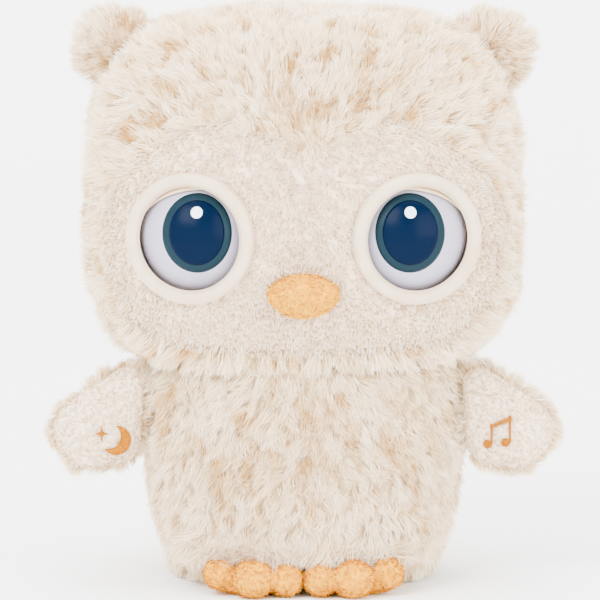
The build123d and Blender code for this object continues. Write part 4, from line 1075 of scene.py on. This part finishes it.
def foot_form(side, name):
    """Three stuffed toes that run back into one pad."""
    low, high = node_box("foot_" + name)
    middle_x = (low[0] + high[0]) / 2
    spread = (high[0] - low[0]) / 2 - TOE_INSET
    eggs = []
    for toe in (-1, 0, 1):
        outer = toe * side > 0
        radii = MIDDLE_TOE if toe == 0 else SIDE_TOE
        x = middle_x + toe * spread
        front = low[1] + (7.0 if outer else 2.2) * abs(toe) + 0.6
        rise = radii[2] + (2.0 if outer else 0.5 * abs(toe))
        eggs.append(ellipsoid((x, front + radii[1], rise), radii, 24, 32))
        eggs.append(ellipsoid((x, front + TOE_ROOT_Y, rise), np.array(radii) * TOE_ROOT, 24, 32))
    eggs.append(ellipsoid((middle_x, low[1] + PAD_Y, PAD[2]), PAD, 24, 48, PAD_POWERS))
    parts, part_faces, total = [], [], 0
    for points, _, faces in eggs:
        parts.append(points.reshape(-1, 3))
        part_faces.append(faces + total)
        total += len(parts[-1])
    piece = make_mesh("foot_cloth_" + name, np.concatenate(parts), np.concatenate(part_faces),
                      [gold_cloth])
    apply_modifier(piece, "REMESH", mode="VOXEL", voxel_size=FOOT_VOXEL * MM)
    apply_modifier(piece, "SMOOTH", factor=0.5, iterations=9)
    spots = mesh_spots(piece.data)
    spots[:, 2] = np.maximum(spots[:, 2], FOOT_FLOOR * MM)
    piece.data.vertices.foreach_set("co", spots.ravel())
    piece.data.polygons.foreach_set("use_smooth", np.full(len(piece.data.polygons), True))
    piece.data.update()
    piece.data.materials.clear()
    piece.data.materials.append(gold_cloth)
    stand_for(piece, "golden_plush", "root", "foot_" + name)
    return piece


for side, name in SIDES:
    short_pile("foot_pile_" + name, mesh_surface(foot_form(side, name)),
               lambda p, n: np.tile((0, -1.0, -0.4), (len(p), 1)), "root", 61 + side, GOLD,
               keep=lambda p: (p[:, 1] < -28.0) & (p[:, 2] > 0.6), length=1.3, low_z=0.05)

# ---- wings --------------------------------------------------------------------------
PALM_CIRCLES = ((60.0, 68.0, 5.2), (74.5, 52.5, 9.5), (72.0, 48.5, 8.5), (64.0, 49.0, 7.5))
PALM_MIDDLE = (69.0, 54.0)
WING_SWELL = 1.1              # the cloth's edge stands out this far round the palm's outline
WING_LOW, WING_HIGH = node_box("wing_back_left", "wing_palm_left")
PALM_SPLIT_Y = node_box("wing_palm_left")[1][1]
WING_FRONT_Y = WING_LOW[1]
WING_BACK_Y = WING_HIGH[1]
WING_MIDDLE_Y = (WING_FRONT_Y + WING_BACK_Y) / 2


def palm_outline(columns):
    """The mitten's rounded edge as a reach for each direction from its middle."""
    turn = np.linspace(0, 2 * math.pi, columns, endpoint=False)
    heading = np.stack([np.cos(turn), np.sin(turn)], axis=1)
    reach = np.full(columns, 1e9)
    facing = np.linspace(0, 2 * math.pi, 360, endpoint=False)
    for angle in facing:
        out = np.array([math.cos(angle), math.sin(angle)])
        support = max(
            (x - PALM_MIDDLE[0]) * out[0] + (z - PALM_MIDDLE[1]) * out[1] + radius
            for x, z, radius in PALM_CIRCLES
        )
        along = heading @ out
        reach = np.where(along > 0.05, np.minimum(reach, support / np.maximum(along, 0.05)), reach)
    return heading, reach


def wing_form(side):
    """A stuffed mitten: a flat-fronted pillow on the palm's outline."""
    rows, columns = 40, 150
    heading, reach = palm_outline(columns)
    half_y = (WING_BACK_Y - WING_FRONT_Y) / 2
    lat = np.linspace(-math.pi / 2, math.pi / 2, rows)
    points = np.zeros((rows, columns, 3))
    for row, angle in enumerate(lat):
        share = abs(math.cos(angle)) ** 0.62
        depth = math.copysign(abs(math.sin(angle)) ** 1.15, math.sin(angle)) * (half_y - 0.9)
        radius = (reach + WING_SWELL) * share
        points[row, :, 0] = side * (PALM_MIDDLE[0] + heading[:, 0] * radius)
        points[row, :, 2] = PALM_MIDDLE[1] + heading[:, 1] * radius
        points[row, :, 1] = WING_MIDDLE_Y + depth
    return points


def palm_side(points):
    """True on the short-pile palm, the front of the mitten."""
    return points[:, 1] < PALM_SPLIT_Y + 2.5


for side, name in SIDES:
    body = "wing_" + name
    grid = wing_form(side)
    faces = grid_faces(*grid.shape[:2])
    flat = grid.reshape(-1, 3)
    is_palm = palm_side(flat[faces].mean(axis=1))
    wing = make_mesh("wing_cloth_" + name, flat, faces, [fur_cloth, face_cloth],
                     slots=is_palm.astype(int))
    stand_for(wing, "short_plush", body, "wing_back_" + name, "wing_palm_" + name)
    core = np.array([side * PALM_MIDDLE[0], WING_MIDDLE_Y, PALM_MIDDLE[1]])
    surface = surface_of(grid, grid_normals(grid, core), faces)

    def fringe_comb(points, normals):
        away = (points - core) * np.array([1.0, 0.0, 1.0])
        return unit(away) + np.array([side * 0.3, 0.1, -0.15])

    def palm_comb(points, normals):
        return np.tile((side * 1.0, 0.0, -0.55), (len(points), 1))

    def outer_edge(points):
        return ~palm_side(points) & (points[:, 2] < 84)

    short_pile("palm_pile_" + name, surface, palm_comb, body, 71 + side, MINKY, keep=palm_side,
               length=1.5, density=10.0, lift=(35, 74))
    long_fur("wing_fur_" + name, surface, fringe_comb, body, 75 + side, keep=outer_edge,
             length=6.2, clumps=0.4, hairs=22, lift=(40, 62), patches=14.0, patch_depth=0.6)

# ---- embroidery ---------------------------------------------------------------------
thread = new_material("golden_thread", (150, 88, 0), 0.8, Specular_IOR_Level=0.0)
mottle(thread, (134, 74, 0), (166, 102, 0), 1500.0)

THREAD_W = 0.42
THREAD_PITCH = 0.34
STITCH_Y = WING_FRONT_Y - 0.15
STITCH_SIDES, STITCH_STEPS = 6, 5
MOON_MIDDLE, MOON_R = np.array([-63.4, 49.6]), 5.1
BITE, BITE_R = MOON_MIDDLE + (-3.1, 1.5), 4.4
STAR = np.array([-68.6, 52.0])
NOTES = (((62.4, 48.4), 6.9), ((68.6, 49.0), 9.2))    # each head's middle and its stem's height
NOTE_HEAD = (1.9, 1.5)
NOTE_TILT = math.radians(20)
BEAM_TALL = 1.9


def stitch(store, start, end, arch):
    """One satin stitch from edge to edge, arched over the pile."""
    points, faces = store
    base = len(points)
    start, end = np.array(start), np.array(end)
    along = unit(end - start)
    across = np.array([-along[1], along[0]])
    for step in range(STITCH_STEPS):
        share = step / (STITCH_STEPS - 1)
        swell = math.sqrt(max(1 - (2 * share - 1) ** 2 * 0.86, 0.02))
        spot = start + (end - start) * share
        lift = arch * (1 - (2 * share - 1) ** 2)
        radius = 0.5 * THREAD_W * swell
        for k in range(STITCH_SIDES):
            turn = 2 * math.pi * k / STITCH_SIDES
            flat = spot + across * (radius * math.cos(turn))
            points.append((flat[0], STITCH_Y - lift - radius * math.sin(turn), flat[1]))
    faces += [tuple(face) for face in grid_faces(STITCH_STEPS, STITCH_SIDES) + base]
    faces.append(tuple(range(base + STITCH_SIDES - 1, base - 1, -1)))
    faces.append(tuple(range(len(points) - STITCH_SIDES, len(points))))


def fill_oval(store, centre, half_w, half_h, tilt):
    """Fill a tilted oval with parallel stitches."""
    count = int(2 * half_h / THREAD_PITCH)
    ahead = np.array([math.cos(tilt), math.sin(tilt)])
    up = np.array([-ahead[1], ahead[0]])
    for step in range(count):
        level = (step + 0.5) / count * 2 - 1
        reach = half_w * math.sqrt(1 - level ** 2)
        middle = np.array(centre) + up * level * half_h
        stitch(store, middle - ahead * reach, middle + ahead * reach, 0.25)


def moon_stitches():
    store = ([], [])
    for step in range(64):
        turn = math.radians(-152 + 240 * step / 63)
        edge = MOON_MIDDLE + MOON_R * np.array([math.cos(turn), math.sin(turn)])
        away = edge - BITE
        length = np.linalg.norm(away)
        gap = length - BITE_R
        if gap >= 0.25:
            stitch(store, edge, edge - away / length * gap, 0.3)
    for arm in range(4):
        turn = math.radians(90 * arm)
        out = np.array([math.cos(turn), math.sin(turn)])
        side = np.array([-out[1], out[0]])
        length = 2.9 if arm % 2 else 2.2
        for step in range(7):
            share = (step + 0.5) / 7
            half = 0.85 * (1 - share) ** 1.3 + 0.1
            spot = STAR + out * length * share
            stitch(store, spot - side * half, spot + side * half, 0.12)
    return store


def note_stitches():
    store = ([], [])
    tops = []
    for (x, z), rise in NOTES:
        fill_oval(store, (x, z), *NOTE_HEAD, NOTE_TILT)
        stem_x = x + 1.5
        count = int(rise / THREAD_PITCH)
        for step in range(count):
            height = z + rise * (step + 0.5) / count
            stitch(store, (stem_x - 0.45, height), (stem_x + 0.45, height), 0.15)
        tops.append((stem_x, z + rise))
    (x0, z0), (x1, z1) = tops
    for step in range(18):
        share = step / 17
        x = x0 - 0.4 + (x1 - x0 + 0.8) * share
        z = z0 + (z1 - z0) * share
        stitch(store, (x, z - BEAM_TALL), (x, z), 0.15)
    return store


for name, body, maker in (("moon", "wing_right", moon_stitches), ("note", "wing_left", note_stitches)):
    motif = make_mesh(name + "_stitches", *maker(), [thread])
    stand_for(motif, "golden_thread", body, name + "_embroidery")

# ---- carried-over CAD nodes ---------------------------------------------------------
# The fillings are drawn in a little, so that they stay under the cloth.
STUFFING_SHARES = (("head_stuffing", 0.945), ("body_stuffing", 0.95))


def plastic(name, colour, roughness=0.45, **sockets):
    base = new_material(name, colour, roughness, **sockets)
    mottle(base, [max(value - 8, 0) for value in colour], colour, 90.0)
    return rough_grain(base, 1400.0, 0.00003, roughness - 0.06, roughness + 0.08)


finishes = {
    # Painted shade: the eye frame is drawn dark brown, not its own off-white, so that the gap seen
    # round each eyeball looks shadowed.
    "frame_plastic": plastic("frame_plastic", (92, 80, 64), 0.55),
    "gear_plastic": plastic("gear_plastic", (236, 234, 222), 0.4),
    "box_plastic": plastic("box_plastic", (232, 226, 214), 0.5),
    "switch_plastic": plastic("switch_plastic", (34, 34, 36), 0.4),
    "cone_paper": plastic("cone_paper", (40, 38, 36), 0.8),
    "circuit_board": plastic("circuit_board", (28, 92, 52), 0.35),
    "cell_wrap": plastic("cell_wrap", (52, 62, 84), 0.25),
    "wire_cover": plastic("wire_cover", (176, 40, 34), 0.4),
    "steel": plastic("steel", (176, 176, 180), 0.3, Metallic=1.0),
    "motor_can": plastic("motor_can", (158, 158, 164), 0.35, Metallic=1.0),
    "stuffing": rough_grain(
        mottle(new_material("stuffing", (244, 244, 242), 0.95, Sheen_Weight=0.5),
               (236, 236, 234), (250, 250, 248), 300.0), 500.0, 0.001),
    "grip_tape": weave(new_material("grip_tape", (232, 228, 216), 0.85), 1600.0, 0.0003),
    "base_cloth": weave(
        mottle(new_material("base_cloth", (214, 202, 180), 0.9), (204, 192, 168),
               (220, 208, 188), 400.0), 1100.0, 0.0003),
}
for node, share in STUFFING_SHARES:
    filling = frame["nodes"][node].data.copy()
    spots = mesh_spots(filling)
    spots[:, 0] *= share
    spots[:, 1] = (spots[:, 1] - MID_Y * MM) * share + MID_Y * MM
    middle_z = (spots[:, 2].min() + spots[:, 2].max()) / 2
    spots[:, 2] = middle_z + (spots[:, 2] - middle_z) * share
    filling.vertices.foreach_set("co", spots.ravel())
    filling.materials.clear()
    filling.materials.append(finishes["stuffing"])
    filling.update()
    piece = bpy.data.objects.new(node + "_fibre", filling)
    piece.matrix_world = frame["nodes"][node].matrix_world
    bpy.context.scene.collection.objects.link(piece)
    stand_for(piece, "stuffing", "root", node)

slot_of = {row["node"]: row["material_slot"] for row in frame["record"]["subparts"]}
for node, piece in frame["nodes"].items():
    finish = finishes.get(slot_of.get(node))
    if finish is not None:
        piece.data.materials.clear()
        piece.data.materials.append(finish)

# ---- floor, light and camera --------------------------------------------------------
floor_shade = mottle(new_material("floor", (252, 252, 252), 0.9), (250, 250, 250),
                     (254, 254, 254), 3.0)
floor = make_mesh("floor", [(-4000, -4000, 0), (4000, -4000, 0), (4000, 4000, 0), (-4000, 4000, 0)],
                  [(0, 1, 2, 3)], [floor_shade])

world = bpy.data.worlds.new("studio")
world.use_nodes = True
sky = world.node_tree.nodes["Background"]
sky.inputs["Color"].default_value = (1.0, 1.0, 1.0, 1.0)
way = world.node_tree.nodes.new("ShaderNodeTexCoord")
height = world.node_tree.nodes.new("ShaderNodeSeparateXYZ")
glow = world.node_tree.nodes.new("ShaderNodeMapRange")
for key, value in (("From Min", 0.0), ("From Max", 0.55), ("To Min", 6.5), ("To Max", 1.5)):
    glow.inputs[key].default_value = value
world.node_tree.links.new(way.outputs["Generated"], height.inputs["Vector"])
world.node_tree.links.new(height.outputs["Z"], glow.inputs["Value"])
world.node_tree.links.new(glow.outputs["Result"], sky.inputs["Strength"])
bpy.context.scene.world = world


def softbox(name, place, size, power, target=(0, 0, 0.1)):
    light = bpy.data.lights.new(name, "AREA")
    light.shape = "RECTANGLE"
    light.size, light.size_y = size
    light.energy = power
    lamp = bpy.data.objects.new(name, light)
    lamp.location = place
    lamp.rotation_euler = (Vector(target) - Vector(place)).to_track_quat("-Z", "Y").to_euler()
    bpy.context.scene.collection.objects.link(lamp)


softbox("key", (-0.55, -0.9, 0.95), (0.7, 0.7), 44.0)
softbox("fill", (0.75, -0.8, 0.5), (0.8, 0.8), 20.0)
softbox("top", (0.0, 0.1, 1.3), (1.0, 1.0), 44.0)
softbox("backdrop", (0.0, 1.9, 1.3), (3.2, 1.6), 150.0, (0, 2.0, 0))

CAMERA_RISE = math.radians(8.0)
CAMERA_AWAY = 4.0
FRAME_TALL = 0.2047
target = Vector((-0.0012, 0.0, 0.0946))
camera_data = bpy.data.cameras.new("camera")
camera_data.sensor_width = 36.0
camera_data.lens = 36.0 * CAMERA_AWAY / FRAME_TALL
camera = bpy.data.objects.new("camera", camera_data)
camera.location = target + CAMERA_AWAY * Vector((0, -math.cos(CAMERA_RISE), math.sin(CAMERA_RISE)))
camera.rotation_euler = (target - camera.location).to_track_quat("-Z", "Y").to_euler()
bpy.context.scene.collection.objects.link(camera)
bpy.context.scene.camera = camera
